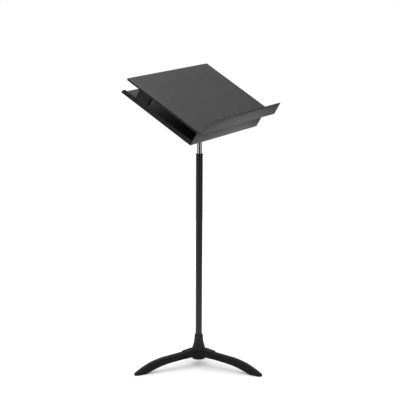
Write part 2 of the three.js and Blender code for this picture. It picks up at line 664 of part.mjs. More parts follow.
function buildBracket() {
  const plateTop = HINGE_TO_TRAY - GAP;
  const plateZ = plateTop - BRACKET_T;
  const corners = Array(4).fill(BRACKET_CORNER_R);
  const halfW = BRACKET_W / 2;
  const halfL = BRACKET_LENGTH / 2;
  const plate = planSolid(roundedRect([-halfW, -halfL], [halfW, halfL], corners), plateZ, plateTop);
  const ear = sideSolid(earOutline(plateZ + WELD), BRACKET_T);
  const earX = EAR_INNER + BRACKET_T / 2;
  const boltHole = crossBore(TILT_BOLT_R + BOLT_CLEAR);
  const rivetHoles = BRACKET_RIVETS.map(([x, y]) =>
    rod(RIVET_R + RIVET_CLEAR, plateZ - OVERCUT, plateTop + OVERCUT).translate([x, y, 0]),
  );
  const bracket = join(plate, ear.translate([earX, 0, 0]), ear.translate([-earX, 0, 0]));
  place(desk, "tilt_bracket", cut(bracket, boltHole, ...rivetHoles), BLACK_STEEL);

  const boreR = TILT_BOLT_R + BOLT_CLEAR;
  const washer = ring(boreR, TILT_WASHER_R, 0, WASHER_T);
  const springWasher = turned([
    [boreR, TILT_SPRING_DISH], [TILT_SPRING_R, 0], [TILT_SPRING_R, TILT_SPRING_EDGE],
    [boreR, WASHER_T], [boreR, TILT_SPRING_DISH],
  ]);
  const outside = EAR_INNER + BRACKET_T + GAP;
  const right = [0, Math.PI / 2, 0];
  const left = [0, -Math.PI / 2, 0];
  place(desk, "friction_washer_right", washer, NATURAL_NYLON, [HEAD_HALF_W + GAP, 0, 0], right);
  place(desk, "friction_washer_left", washer, NATURAL_NYLON, [-HEAD_HALF_W - GAP, 0, 0], left);
  place(desk, "spring_washer_right", springWasher, ZINC, [outside, 0, 0], right);
  place(desk, "spring_washer_left", springWasher, ZINC, [-outside, 0, 0], left);

  const seat = outside + WASHER_T + GAP;
  const length = 2 * seat + HEX_H + BOLT_OVERHANG;
  place(desk, "tilt_bolt", makeHexBolt(TILT_BOLT_R, length, HEX_R, HEX_H), ZINC, [-seat, 0, 0], right);
  const collar = ring(boreR, LOCK_COLLAR_R, HEX_H - WELD, HEX_H + LOCK_COLLAR_H);
  const nutBody = cut(rod(HEX_R, 0, HEX_H, 6), rod(boreR, -OVERCUT, HEX_H + OVERCUT));
  place(desk, "tilt_lock_nut", join(nutBody, collar), ZINC, [seat, 0, 0], right);
}

// ---------------------------------------------------------------- rivets
// The closed end of a rivet, from its tip up to the underside of the stack it holds.
const rivetTail = (low) => [
  [0, low - RIVET_TAIL_H], [RIVET_TAIL_R - RIVET_TAIL_EASE, low - RIVET_TAIL_H],
  [RIVET_TAIL_R, low - RIVET_TAIL_H / 3], [RIVET_TAIL_R, low], [RIVET_R, low],
];

// A domed rivet on z = 0, its shank running down through a stack and closed by a tail.
function makeRivet(stack) {
  const dome = RIVET_DOME.map(([r, z]) => [RIVET_HEAD_R * r, RIVET_HEAD_H * z]);
  const top = [[RIVET_R, 0], [RIVET_HEAD_R, 0], ...dome, [0, RIVET_HEAD_H]];
  return turned([...rivetTail(-stack - 2 * GAP), ...top], RIVET_ROUND);
}

// A rivet with its head sunk flush with z = 0.
function makeFlushRivet(stack) {
  const top = [[RIVET_R, -FLUSH_HEAD_H], [FLUSH_HEAD_R, 0], [0, 0]];
  return turned([...rivetTail(-stack - GAP), ...top], RIVET_ROUND);
}

// The hole for a flush rivet, with its countersink at z = 0.
function makeFlushHole() {
  const shankR = RIVET_R + RIVET_CLEAR;
  const headR = FLUSH_HEAD_R + RIVET_CLEAR;
  return turned(
    [
      [0, -OVERCUT], [shankR, -OVERCUT], [shankR, -FLUSH_HEAD_H - RIVET_CLEAR], [headR, 0],
      [headR, OVERCUT], [0, OVERCUT],
    ],
    RIVET_ROUND,
  );
}

// ---------------------------------------------------------------- desk
const DESK_TOP = DESK_Z + SHEET;
const RETURN_TOP = DESK_Z - GAP;
const LIP_RIVETS = LIP_RIVET_X.map((x) => [x, TRAY_FRONT + LIP_RIVET_INSET]);
const STRAP_RIVETS_Y = [STRAP_FRONT + STRAP_RIVET_FROM_FRONT, STRAP_REAR - STRAP_RIVET_FROM_REAR];
const STRAP_RIVET_X = TRAY_W / 2 - STRAP_RIVET_FROM_SIDE;
const SIDES = { left: -1, right: 1 };

function makeUpperDesk() {
  const middle = DESK_Z + SHEET / 2;
  const front = DESK_FRONT + SHEET / 2;
  const rear = DESK_REAR - SHEET / 2;
  const section = foldedSheet(
    [[front, LIP_TOP], [front, middle], [rear, middle], [rear, DESK_Z - DESK_HEM]],
    SHEET,
    FOLD_R,
  );
  const half = DESK_W / 2;
  const lipHalf = half - LIP_INSET;
  const low = DESK_Z - DESK_HEM - OVERCUT;
  const shoulder = DESK_TOP + LIP_SHOULDER;
  const elevation = new THREE.Shape();
  elevation.moveTo(-half, low);
  elevation.lineTo(half, low);
  elevation.lineTo(half, shoulder);
  elevation.lineTo(lipHalf, shoulder + LIP_INSET);
  const quarter = Math.PI / 2;
  elevation.absarc(lipHalf - LIP_RIGHT_R, LIP_TOP - LIP_RIGHT_R, LIP_RIGHT_R, 0, quarter, false);
  elevation.absarc(LIP_LEFT_R - lipHalf, LIP_TOP - LIP_LEFT_R, LIP_LEFT_R, quarter, 2 * quarter, false);
  elevation.lineTo(-lipHalf, shoulder + LIP_INSET);
  elevation.lineTo(-half, shoulder);
  const bounds = roundedRect(
    [-half, DESK_FRONT - OVERCUT],
    [half, DESK_REAR],
    [0, 0, CORNER_R, CORNER_R],
  );
  const hem = Object.values(SIDES).map((side) => {
    const x = [side * half, side * (half - SHEET)].sort((a, b) => a - b);
    return block(
      [x[0], DESK_FRONT + HEM_START, DESK_Z - DESK_HEM],
      [x[1], rear, DESK_Z + WELD],
    );
  });
  const plan = planSolid(bounds, low - OVERCUT, LIP_TOP + OVERCUT);
  const sheet = join(sideSolid(section, DESK_W), ...hem)
    .intersect(frontSolid(elevation, 2 * DESK_W))
    .intersect(plan);
  const holes = [];
  for (const [x, y] of LIP_RIVETS) holes.push(makeFlushHole().translate([x, y, DESK_TOP]));
  for (const side of Object.values(SIDES)) {
    for (const y of STRAP_RIVETS_Y) {
      holes.push(makeFlushHole().translate([side * STRAP_RIVET_X, y, DESK_TOP]));
    }
  }
  return cut(sheet, ...holes);
}

function makeTray() {
  const low = HINGE_TO_TRAY;
  const middle = low + SHEET / 2;
  const front = TRAY_FRONT + SHEET / 2;
  const top = RETURN_TOP - SHEET / 2;
  const section = foldedSheet(
    [[front + TRAY_RETURN, top], [front, top], [front, middle], [TRAY_REAR, middle]],
    SHEET,
    FOLD_R,
  );
  const half = TRAY_W / 2;
  const sideOutline = roundedRect(
    [front, low],
    [TRAY_REAR, low + TRAY_SIDE_H],
    TRAY_SIDE_CORNERS,
  );
  const sides = Object.values(SIDES).map((side) =>
    sideSolid(sideOutline, SHEET, side * (half - SHEET / 2)),
  );
  const bounds = roundedRect(
    [-half, TRAY_FRONT - OVERCUT],
    [half, TRAY_REAR],
    [0, 0, TRAY_CORNER_R, TRAY_CORNER_R],
  );
  const tray = join(sideSolid(section, TRAY_W), ...sides).intersect(planSolid(bounds, 0, LIP_TOP));
  const holes = [];
  for (const [x, y] of LIP_RIVETS) {
    const hole = rod(RIVET_R + RIVET_CLEAR, RETURN_TOP - OVERCUT, RETURN_TOP + OVERCUT, RIVET_ROUND);
    holes.push(hole.translate([x, y, 0]));
  }
  for (const [x, y] of BRACKET_RIVETS) {
    const hole = rod(RIVET_R + RIVET_CLEAR, low - OVERCUT, low + OVERCUT, RIVET_ROUND);
    holes.push(hole.translate([x, y, 0]));
  }
  for (const y of STRAP_RIVETS_Y) {
    const across = rod(RIVET_R + RIVET_CLEAR, -half - OVERCUT, half + OVERCUT, RIVET_ROUND);
    holes.push(across.rotate([0, 90, 0]).translate([0, y, STRAP_RIVET_Z]));
  }
  return cut(tray, ...holes);
}

// The left strap: an upright outside the tray's side, a flange under the upper desk and a
// stiffening fold at its front. The right strap is its mirror image.
function makeStrap(side) {
  const outer = TRAY_W / 2 + GAP + STRAP_T;
  const inner = outer - STRAP_T;
  const flangeTop = RETURN_TOP;
  const flangeIn = outer - STRAP_FLANGE - STRAP_T;
  const span = (a, b) => [side * a, side * b].sort((p, q) => p - q);
  const [x0, x1] = span(inner, outer);
  const upright = block([x0, STRAP_FRONT, STRAP_BOTTOM], [x1, STRAP_REAR, flangeTop]);
  const [f0, f1] = span(flangeIn, outer);
  const flange = block([f0, STRAP_FRONT, flangeTop - STRAP_T], [f1, STRAP_REAR, flangeTop]);
  const [s0, s1] = span(outer - STRAP_STIFFENER, outer);
  const foldLow = HINGE_TO_TRAY + TRAY_SIDE_H + STRAP_FOLD_GAP;
  const fold = block([s0, STRAP_FRONT, foldLow], [s1, STRAP_FRONT + STRAP_T, flangeTop]);
  const holes = STRAP_RIVETS_Y.flatMap((y) => [
    rod(RIVET_R + RIVET_CLEAR, flangeTop - OVERCUT, flangeTop + OVERCUT, RIVET_ROUND)
      .translate([side * STRAP_RIVET_X, y, 0]),
    rod(RIVET_R + RIVET_CLEAR, -outer - OVERCUT, outer + OVERCUT, RIVET_ROUND)
      .rotate([0, 90, 0])
      .translate([0, y, STRAP_RIVET_Z]),
  ]);
  return cut(join(upright, flange, fold), ...holes);
}

function buildDesk() {
  place(desk, "upper_desk", makeUpperDesk(), BLACK_STEEL);
  place(desk, "storage_tray", makeTray(), BLACK_STEEL);
  LIP_RIVETS.forEach(([x, y], i) => {
    const rivet = makeFlushRivet(2 * SHEET + GAP);
    place(desk, `lip_rivet_${i + 1}`, rivet, BLACK_STEEL, [x, y, DESK_TOP]);
  });
  BRACKET_RIVETS.forEach(([x, y], i) => {
    const rivet = makeRivet(SHEET + GAP + BRACKET_T);
    place(desk, `bracket_rivet_${i + 1}`, rivet, BLACK_STEEL, [x, y, HINGE_TO_TRAY + SHEET + GAP]);
  });
  for (const [name, side] of Object.entries(SIDES)) {
    place(desk, `side_strap_${name}`, makeStrap(side), BLACK_STEEL);
    STRAP_RIVETS_Y.forEach((y, i) => {
      const upper = makeFlushRivet(SHEET + GAP + STRAP_T);
      const spot = [side * STRAP_RIVET_X, y, DESK_TOP];
      place(desk, `strap_top_rivet_${name}_${i + 1}`, upper, BLACK_STEEL, spot);
      const lower = makeRivet(STRAP_T + GAP + SHEET);
      const x = side * (TRAY_W / 2 + 2 * GAP + STRAP_T);
      const turn = [0, (side * Math.PI) / 2, 0];
      place(desk, `strap_side_rivet_${name}_${i + 1}`, lower, BLACK_STEEL, [x, y, STRAP_RIVET_Z], turn);
    });
  }
}

buildBase();
buildPost();
buildBracket();
buildDesk();

export default stand;
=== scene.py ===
"""The looks of a two-tier orchestra music stand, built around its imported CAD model.

Shapes are drawn in millimetres, in the frame of the group that they belong to (the post, a leg, the
mast head or the tilting desk), and then placed in the stand's own frame in metres.
"""
import json
import math

import bmesh
import bpy
from mathutils import Matrix, Vector


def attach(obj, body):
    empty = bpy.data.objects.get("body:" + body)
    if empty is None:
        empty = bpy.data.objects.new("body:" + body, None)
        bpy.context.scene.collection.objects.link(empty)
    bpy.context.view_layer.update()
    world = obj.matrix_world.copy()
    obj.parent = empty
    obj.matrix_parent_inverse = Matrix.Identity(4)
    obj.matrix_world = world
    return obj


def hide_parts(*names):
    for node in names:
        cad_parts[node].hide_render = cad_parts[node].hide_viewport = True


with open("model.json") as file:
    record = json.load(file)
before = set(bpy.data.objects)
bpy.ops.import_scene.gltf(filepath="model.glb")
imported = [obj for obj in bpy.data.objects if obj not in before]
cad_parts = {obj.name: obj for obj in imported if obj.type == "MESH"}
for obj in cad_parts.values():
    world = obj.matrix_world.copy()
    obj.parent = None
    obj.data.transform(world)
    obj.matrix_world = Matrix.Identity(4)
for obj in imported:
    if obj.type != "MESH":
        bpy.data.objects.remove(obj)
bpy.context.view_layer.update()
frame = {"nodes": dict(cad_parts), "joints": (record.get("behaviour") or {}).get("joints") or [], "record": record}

MM = 0.001
NODES = frame["nodes"]
JOINTS = {joint["name"]: joint for joint in frame["joints"]}
MOUNTS = {mount["name"]: mount for mount in frame["record"]["mounts"]}


# -------- places taken from the frame
HINGE = Vector(JOINTS["desk_tilt"]["pos_m"])
FACE_NORMAL = Vector(MOUNTS["desk_face"]["axis"])
TILT = math.atan2(-FACE_NORMAL.y, FACE_NORMAL.z)
FACE_Z = (Vector(MOUNTS["desk_face"]["pos_m"]) - HINGE).dot(FACE_NORMAL) / MM


def over_post(height):
    return Vector((HINGE.x, HINGE.y, height))


TO_METRES = Matrix.Scale(MM, 4)
POST = Matrix.Translation(over_post(0)) @ TO_METRES
HEAD = Matrix.Translation(HINGE) @ TO_METRES
DESK = Matrix.Translation(HINGE) @ Matrix.Rotation(TILT, 4, "X") @ TO_METRES
ALONG_X = Matrix.Rotation(math.pi / 2, 4, "Y")  # turns a piece drawn along Z to lie along X
UPSIDE_DOWN = Matrix.Rotation(math.pi, 4, "X")


def box_in(node, place):
    """The lowest and highest corners of a CAD node in a group's own millimetre frame."""
    back = place.inverted()
    points = [back @ vertex.co for vertex in NODES[node].data.vertices]
    return [Vector([pick(p[i] for p in points) for i in range(3)]) for pick in (min, max)]


# -------- finishes
EDGE_SAMPLES = 6
EDGE_NONE = 0.995  # how well a rounded normal agrees with the face's own where no edge is near
EDGE_FULL = 0.9
DUST = (0.10, 0.097, 0.094)
RUBBED_PAINT = (0.12, 0.12, 0.122)
RUBBED_CASTING = (0.13, 0.13, 0.132)


def put(node, **values):
    """Sets a node's sockets. An underscore in a name stands for a space."""
    for name, value in values.items():
        node.inputs[name.replace("_", " ")].default_value = value


class Finish:
    """A node material whose detail is measured in the stand's own frame."""

    def __init__(self, name, metallic=0.0, specular=0.5):
        self.material = bpy.data.materials.new(name)
        self.material.use_nodes = True
        self.tree = self.material.node_tree
        self.shader = self.tree.nodes["Principled BSDF"]
        put(self.shader, Metallic=metallic, Specular_IOR_Level=specular)
        self.place = self.tree.nodes.new("ShaderNodeTexCoord").outputs["Object"]

    def node(self, kind, **settings):
        made = self.tree.nodes.new(kind)
        for key, value in settings.items():
            setattr(made, key, value)
        return made

    def link(self, out, into):
        self.tree.links.new(out, into)

    def noise(self, scale, detail=3.0, roughness=0.55, distortion=0.0, stretch=(1, 1, 1)):
        """A noise of the given number of features a metre, stretched along the axes."""
        mapping = self.node("ShaderNodeMapping")
        put(mapping, Scale=stretch)
        noise = self.node("ShaderNodeTexNoise")
        put(noise, Scale=scale, Detail=detail, Roughness=roughness, Distortion=distortion)
        self.link(self.place, mapping.inputs["Vector"])
        self.link(mapping.outputs["Vector"], noise.inputs["Vector"])
        return noise.outputs["Fac"]

    def ramp(self, value, low, high, out=(0.0, 1.0)):
        """The value taken from low..high to the range out."""
        made = self.node("ShaderNodeMapRange")
        put(made, From_Min=low, From_Max=high, To_Min=out[0], To_Max=out[1])
        self.link(value, made.inputs["Value"])
        return made.outputs["Result"]

    def math(self, operation, first, second):
        made = self.node("ShaderNodeMath", operation=operation)
        for socket, value in zip(made.inputs, (first, second)):
            if isinstance(value, (int, float)):
                socket.default_value = value
            else:
                self.link(value, socket)
        return made.outputs["Value"]

    def mix(self, factor, first, second):
        """One colour over another. Each is a tuple or a socket."""
        made = self.node("ShaderNodeMix", data_type="RGBA")
        self.link(factor, made.inputs["Factor"])
        for socket, value in ((made.inputs[6], first), (made.inputs[7], second)):
            if isinstance(value, tuple):
                socket.default_value = (*value, 1)
            else:
                self.link(value, socket)
        return made.outputs[2]

    def edges(self, radius):
        """1 along the piece's edges and 0 on its faces."""
        bevel = self.node("ShaderNodeBevel", samples=EDGE_SAMPLES)
        put(bevel, Radius=radius)
        normal = self.node("ShaderNodeNewGeometry").outputs["Normal"]
        dot = self.node("ShaderNodeVectorMath", operation="DOT_PRODUCT")
        self.link(bevel.outputs["Normal"], dot.inputs[0])
        self.link(normal, dot.inputs[1])
        return self.ramp(dot.outputs["Value"], EDGE_NONE, EDGE_FULL)

    def upward(self):
        """1 on faces that look up."""
        normal = self.node("ShaderNodeNewGeometry").outputs["Normal"]
        split = self.node("ShaderNodeSeparateXYZ")
        self.link(normal, split.inputs["Vector"])
        return self.ramp(split.outputs["Z"], 0.3, 1.0)

    def bump(self, layers):
        """Bumps on bumps: each layer is (height socket, distance in metres, strength)."""
        normal = None
        for height, distance, strength in layers:
            made = self.node("ShaderNodeBump")
            put(made, Distance=distance, Strength=strength)
            self.link(height, made.inputs["Height"])
            if normal is not None:
                self.link(normal, made.inputs["Normal"])
            normal = made.outputs["Normal"]
        self.link(normal, self.shader.inputs["Normal"])

    def finish(self, color, roughness):
        self.link(color, self.shader.inputs["Base Color"])
        self.link(roughness, self.shader.inputs["Roughness"])
        return self.material


def shade(color, factor):
    """The colour made darker or lighter."""
    return tuple(c * factor for c in color)


def powder_coat(name, color, roughness, grain, specular):
    """Fine-textured paint: a pebbled skin, faint handling marks, thin dust and rubbed edges."""
    made = Finish(name, specular=specular)
    clouds = made.ramp(made.noise(scale=9, detail=4), 0.35, 0.65)
    base = made.mix(clouds, shade(color, 0.93), shade(color, 1.07))
    specks = made.ramp(made.noise(scale=34, detail=6), 0.42, 0.8, out=(0, 0.1))
    dust = made.math("MULTIPLY", made.upward(), specks)
    base = made.mix(dust, base, DUST)
    wear = made.ramp(made.noise(scale=160, detail=5), 0.5, 0.62)
    rubbed = made.math("MULTIPLY", made.edges(radius=0.0006), wear)
    base = made.mix(made.math("MULTIPLY", rubbed, 0.45), base, RUBBED_PAINT)
    handling = made.noise(scale=45, detail=6, distortion=0.3)
    marks = made.ramp(handling, 0.35, 0.7, out=(-0.015, 0.02))
    handled = made.math("ADD", marks, roughness)
    gloss = made.math("ADD", handled, made.ramp(dust, 0, 0.2, out=(0, 0.06)))
    pebbles = made.noise(grain, detail=2, roughness=0.6)
    orange_peel = made.noise(grain * 0.22, detail=2)
    made.bump([(orange_peel, 0.00012, 0.35), (pebbles, 0.00005, 0.6)])
    return made.finish(base, gloss)


def cast_metal(name, color, roughness):
    """A painted casting: a slightly wavy skin with sand grain and soft edges rubbed lighter."""
    made = Finish(name, specular=0.12)
    clouds = made.noise(scale=22, detail=5)
    base = made.mix(made.ramp(clouds, 0.35, 0.7), shade(color, 0.85), shade(color, 1.2))
    wear = made.ramp(made.noise(scale=240, detail=4), 0.48, 0.66)
    rubbed = made.math("MULTIPLY", made.edges(radius=0.0012), wear)
    base = made.mix(made.math("MULTIPLY", rubbed, 0.5), base, RUBBED_CASTING)
    gloss_range = (roughness - 0.07, roughness + 0.1)
    gloss = made.ramp(made.noise(scale=60, detail=5), 0.3, 0.7, out=gloss_range)
    grain = made.noise(scale=1500, detail=3, roughness=0.7)
    waves = made.noise(scale=120, detail=2)
    made.bump([(waves, 0.0003, 0.25), (grain, 0.00008, 0.6)])
    return made.finish(base, gloss)


def plated(name, color, roughness, streak, depth):
    """Bright metal with fine drawing lines along Z and faint hand marks."""
    made = Finish(name, metallic=1.0)
    lines = made.noise(streak, detail=3, stretch=(1, 1, 0.01))
    marks = made.noise(scale=28, detail=6, distortion=0.8)
    base = made.mix(made.ramp(marks, 0.4, 0.7), color, shade(color, 0.93))
    drawn = made.ramp(lines, 0.3, 0.7, out=(0, roughness * 0.7))
    handled = made.ramp(marks, 0.4, 0.75, out=(roughness * 0.6, roughness))
    gloss = made.math("ADD", drawn, handled)
    made.bump([(lines, depth, 0.3)])
    return made.finish(base, gloss)


def moulded(name, color, roughness, grain, specular):
    """Moulded plastic or rubber with a fine spark-eroded skin."""
    made = Finish(name, specular=specular)
    clouds = made.noise(scale=40, detail=4)
    base = made.mix(made.ramp(clouds, 0.3, 0.7), shade(color, 0.85), shade(color, 1.15))
    gloss_range = (roughness - 0.06, roughness + 0.08)
    gloss = made.ramp(made.noise(scale=90, detail=5), 0.3, 0.7, out=gloss_range)
    made.bump([(made.noise(grain, detail=3, roughness=0.65), 0.00006, 0.5)])
    return made.finish(base, gloss)


FINISHES = {
    slot: make(slot, *look)
    for slot, make, *look in (
        ("black_powder_coat", powder_coat, (0.013, 0.0126, 0.0138), 0.42, 2600, 0.24),
        ("black_enamel", powder_coat, (0.019, 0.0187, 0.0195), 0.38, 3200, 0.3),
        ("black_casting", cast_metal, (0.007, 0.0068, 0.0073), 0.45),
        ("chrome", plated, (0.82, 0.82, 0.83), 0.07, 9000, 0.00001),
        ("zinc_steel", plated, (0.60, 0.61, 0.63), 0.26, 5000, 0.00003),
        ("black_plastic", moulded, (0.009, 0.009, 0.0095), 0.42, 2200, 0.25),
        ("nylon", moulded, (0.68, 0.65, 0.56), 0.45, 1600, 0.45),
        ("rubber", moulded, (0.015, 0.015, 0.015), 0.75, 1300, 0.3),
    )
}
NODE_SLOTS = {row["node"]: row["material_slot"] for row in frame["record"]["subparts"]}
NODE_BODIES = {
    node: body for body, nodes in frame["record"]["behaviour"]["bodies"].items() for node in nodes
}


def dress_cad_nodes():
    """The CAD nodes that stay on show take their slot's finish."""
    for node, piece in NODES.items():
        piece.data.materials.clear()
        piece.data.materials.append(FINISHES[NODE_SLOTS[node]])


# -------- mesh tools
SLIVER = 0.002  # edges shorter than this are closed up
FINE = 96  # sides of a turned piece, by its size on show
MEDIUM = 64
SMALL = 48
TINY = 32
SAME_POINT = 1e-4
ON_AXIS = 1e-6
STRAIGHT = 1e-3  # a corner that turns less than this, in radians, stays as it is
UPRIGHT = Matrix(((1, 0, 0, 0), (0, 0, -1, 0), (0, 1, 0, 0), (0, 0, 0, 1)))  # (x, y) to (x, z)
SIDEWAYS = Matrix(((0, 0, 1, 0), (1, 0, 0, 0), (0, 1, 0, 0), (0, 0, 0, 1)))  # (x, y) to (y, z)


def new_object(name, data):
    made = bpy.data.objects.new(name, data)
    bpy.context.scene.collection.objects.link(made)
    return made


def mesh_piece(name, points, faces):
    """A new object from points and faces, in the frame that it is drawn in."""
    mesh = bpy.data.meshes.new(name)
    mesh.from_pydata([tuple(p) for p in points], [], faces)
    work = bmesh.new()
    work.from_mesh(mesh)
    bmesh.ops.remove_doubles(work, verts=work.verts, dist=SAME_POINT)
    bmesh.ops.recalc_face_normals(work, faces=work.faces)
    work.to_mesh(mesh)
    work.free()
    return new_object(name, mesh)


def add(piece, kind, **settings):
    modifier = piece.modifiers.new(kind.lower(), kind)
    for key, value in settings.items():
        setattr(modifier, key, value)
    return modifier


def applied(piece):
    """The piece with its modifiers made part of its mesh."""
    bpy.context.view_layer.update()
    graph = bpy.context.evaluated_depsgraph_get()
    baked = bpy.data.meshes.new_from_object(piece.evaluated_get(graph))
    piece.modifiers.clear()
    piece.data = baked
    return piece


def bevelled(piece, width, segments=2, angle=35):
    add(
        piece, "BEVEL", width=width, segments=segments, limit_method="ANGLE",
        angle_limit=math.radians(angle), harden_normals=False, use_clamp_overlap=True,
    )
    return applied(piece)


def combined(first, others, operation="UNION"):
    """The first piece joined with, or cut by, the others, which are used up."""
    for other in others:
        add(first, "BOOLEAN", object=other, operation=operation, solver="EXACT")
        applied(first)
        bpy.data.objects.remove(other)
    return first


def moved(piece, matrix):
    piece.data.transform(matrix)
    return piece


def cleaned(piece):
    """The piece without the slivers that cutting leaves."""
    work = bmesh.new()
    work.from_mesh(piece.data)
    bmesh.ops.remove_doubles(work, verts=work.verts, dist=SLIVER)
    bmesh.ops.dissolve_degenerate(work, edges=work.edges, dist=SLIVER)
    bmesh.ops.triangulate(work, faces=[f for f in work.faces if len(f.verts) > 4])
    bmesh.ops.dissolve_degenerate(work, edges=work.edges, dist=SLIVER)
    work.to_mesh(piece.data)
    work.free()
    return piece


def show(piece, node, place, *more_nodes, angle=32):
    """Places a finished piece, gives it its finish and puts it in its CAD node's stead."""
    moved(cleaned(piece), place)
    piece.data.materials.clear()
    piece.data.materials.append(FINISHES[NODE_SLOTS[node]])
    piece.data.shade_smooth()
    piece.data.set_sharp_from_angle(angle=math.radians(angle))
    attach(piece, NODE_BODIES[node])
    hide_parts(node, *more_nodes)
    return piece


def filleted(points, radii, steps=5):
    """A closed outline with its corners rounded. radii is one radius or one for each corner."""
    count = len(points)
    if isinstance(radii, (int, float)):
        radii = [radii] * count
    made = []
    for i, radius in enumerate(radii):
        here = Vector(points[i])
        into = (here - Vector(points[i - 1])).normalized()
        out = (Vector(points[(i + 1) % count]) - here).normalized()
        turn = into.angle_signed(out) if radius > 0 else 0
        if abs(turn) < STRAIGHT:
            made.append(here)
            continue
        reach = radius * abs(math.tan(turn / 2))
        start = here - into * reach
        end = here + out * reach
        middle = arc_centre(start, into, radius, turn)
        for s in range(steps + 1):
            share = math.sin(abs(turn) * s / steps) / math.sin(abs(turn))
            rest = math.sin(abs(turn) * (1 - s / steps)) / math.sin(abs(turn))
            made.append(middle + (start - middle) * rest + (end - middle) * share)
    return made


def arc_centre(start, direction, radius, turn):
    """The centre of an arc that leaves start along direction and turns by a signed angle."""
    side = Vector((direction.y, -direction.x)) if turn > 0 else Vector((-direction.y, direction.x))
    return start + side * radius


def lathe(name, profile, segments=MEDIUM, closed=False):
    """A solid of revolution about Z from (radius, height) points. It ends on the axis or closes."""
    rings = []
    points = []
    for radius, height in profile:
        if radius < ON_AXIS:
            rings.append([len(points)] * segments)
            points.append((0, 0, height))
        else:
            rings.append(list(range(len(points), len(points) + segments)))
            for s in range(segments):
                angle = 2 * math.pi * s / segments
                points.append((radius * math.cos(angle), radius * math.sin(angle), height))
    if closed:
        rings.append(rings[0])
    faces = []
    for low, high in zip(rings, rings[1:]):
        for s in range(segments):
            n = (s + 1) % segments
            face = list(dict.fromkeys((low[s], low[n], high[n], high[s])))
            if len(face) > 2:
                faces.append(face)
    return mesh_piece(name, points, faces)


def rod(name, radius, low, high, segments):
    """A plain cylinder about Z."""
    return lathe(name, [(0, low), (radius, low), (radius, high), (0, high)], segments)


def rectangle(left, near, right, far):
    return [(left, near), (right, near), (right, far), (left, far)]


def prism(name, outline, low, high):
    """An outline in (x, y) raised from one height to another."""
    count = len(outline)
    points = [(p[0], p[1], z) for z in (low, high) for p in outline]
    sides = [(i, (i + 1) % count, count + (i + 1) % count, count + i) for i in range(count)]
    return mesh_piece(name, points, sides + [tuple(range(count)), tuple(range(count, 2 * count))])


def side_prism(name, outline, low, high):
    """An outline in (y, z) drawn out along X."""
    return moved(prism(name, outline, low, high), SIDEWAYS)


def grid_faces(rows, columns, first=0):
    """The faces of a grid of points stored row by row."""
    return [
        (first + r * columns + c, first + r * columns + c + 1,
         first + (r + 1) * columns + c + 1, first + (r + 1) * columns + c)
        for r in range(rows - 1) for c in range(columns - 1)
    ]


def arc(centre, radius, start, end, steps):
    """Points on an arc, with angles in degrees."""
    return [
        (centre[0] + radius * math.cos(math.radians(start + (end - start) * s / steps)),
         centre[1] + radius * math.sin(math.radians(start + (end - start) * s / steps)))
        for s in range(steps + 1)
    ]


def smooth_curve(points, steps):
    """A Catmull-Rom curve through the points."""
    made = []
    for i in range(len(points) - 1):
        p0 = Vector(points[max(i - 1, 0)])
        p1 = Vector(points[i])
        p2 = Vector(points[i + 1])
        p3 = Vector(points[min(i + 2, len(points) - 1)])
        for s in range(steps):
            t = s / steps
            made.append(
                0.5 * (2 * p1 + (p2 - p0) * t + (2 * p0 - 5 * p1 + 4 * p2 - p3) * t * t
                       + (3 * p1 - p0 - 3 * p2 + p3) * t ** 3)
            )
    made.append(Vector(points[-1]))
    return made


def height_at(curve, r):
    """The height of a curve of (r, z) points at r."""
    for a, b in zip(curve, curve[1:]):
        if a[0] <= r <= b[0]:
            return a[1] + (b[1] - a[1]) * (r - a[0]) / max(b[0] - a[0], 1e-9)
    return curve[-1][1] if r > curve[-1][0] else curve[0][1]


def aged_cast(piece, voxel, smoothing, kept):
    """Melts a sharp solid into the soft shape of a casting, then thins the mesh to a share."""
    add(piece, "REMESH", mode="VOXEL", voxel_size=voxel, use_smooth_shade=True)
    add(piece, "SMOOTH", factor=0.5, iterations=smoothing)
    add(piece, "DECIMATE", ratio=kept)
    return applied(piece)


class Sheet:
    """Collects the strips and panels of a folded sheet's middle surface."""

    def __init__(self):
        self.points = []
        self.faces = []

    def strip(self, rows):
        """Rows of points, each row as long as the others."""
        self.faces += grid_faces(len(rows), len(rows[0]), len(self.points))
        for row in rows:
            self.points += row

    def panel(self, outline):
        first = len(self.points)
        self.faces.append(tuple(range(first, first + len(outline))))
        self.points += outline

    def made(self, name, thickness, edge):
        """The sheet at its full thickness, with its cut edges broken."""
        piece = mesh_piece(name, self.points, self.faces)
        add(piece, "SOLIDIFY", thickness=thickness, offset=0, use_even_offset=True)
        return bevelled(applied(piece), edge, angle=50)


def turns(first, last, steps):
    """Angles in radians from first to last, given in degrees."""
    return [math.radians(first + (last - first) * s / steps) for s in range(steps + 1)]


def between(low, high, share):
    return low + (high - low) * share


def round_off(radius, angle):
    """A rounded corner's distances from the side it turns onto and from the side it leaves."""
    return radius * (1 - math.sin(angle)), radius * (1 - math.cos(angle))


# -------- desk
SHEET = 1.2
FOLD_R = 2
FOLD_STEPS = 6
CORNER_STEPS = 8
ROUND_STEPS = 5
EDGE_BREAK = 0.22  # the rounding of a sheet's cut edges
DESK_RELIEF = 12  # the side hems start this far behind the lip
DESK_CORNER_R = 3.4
LIP_INSET = 6.5
LIP_LEFT_R = 30  # the lip's left top corner is swept and the right one is nearly square
LIP_RIGHT_R = 4
TRAY_RETURN = 15.4
TRAY_RETURN_INSET = 5
TRAY_SIDE_H = 17
TRAY_CORNER_R = 14
TRAY_CORNER_GAP = 0.4
STRAP_T = 2
STRAP_FOLD_R = 2.6
STRAP_FRONT_W = 17
STRAP_NOTCH = 2.5
STRAP_FOLD_LOW = 43
STRAP_CHAMFER = 3
STRAP_EDGE_BREAK = 0.3
RIVET_R = 2
RIVET_TAIL = [(0, 0), (2.2, 0), (2.75, 0.25), (3.0, 0.6), (3.0, 1.2), (RIVET_R, 1.2)]
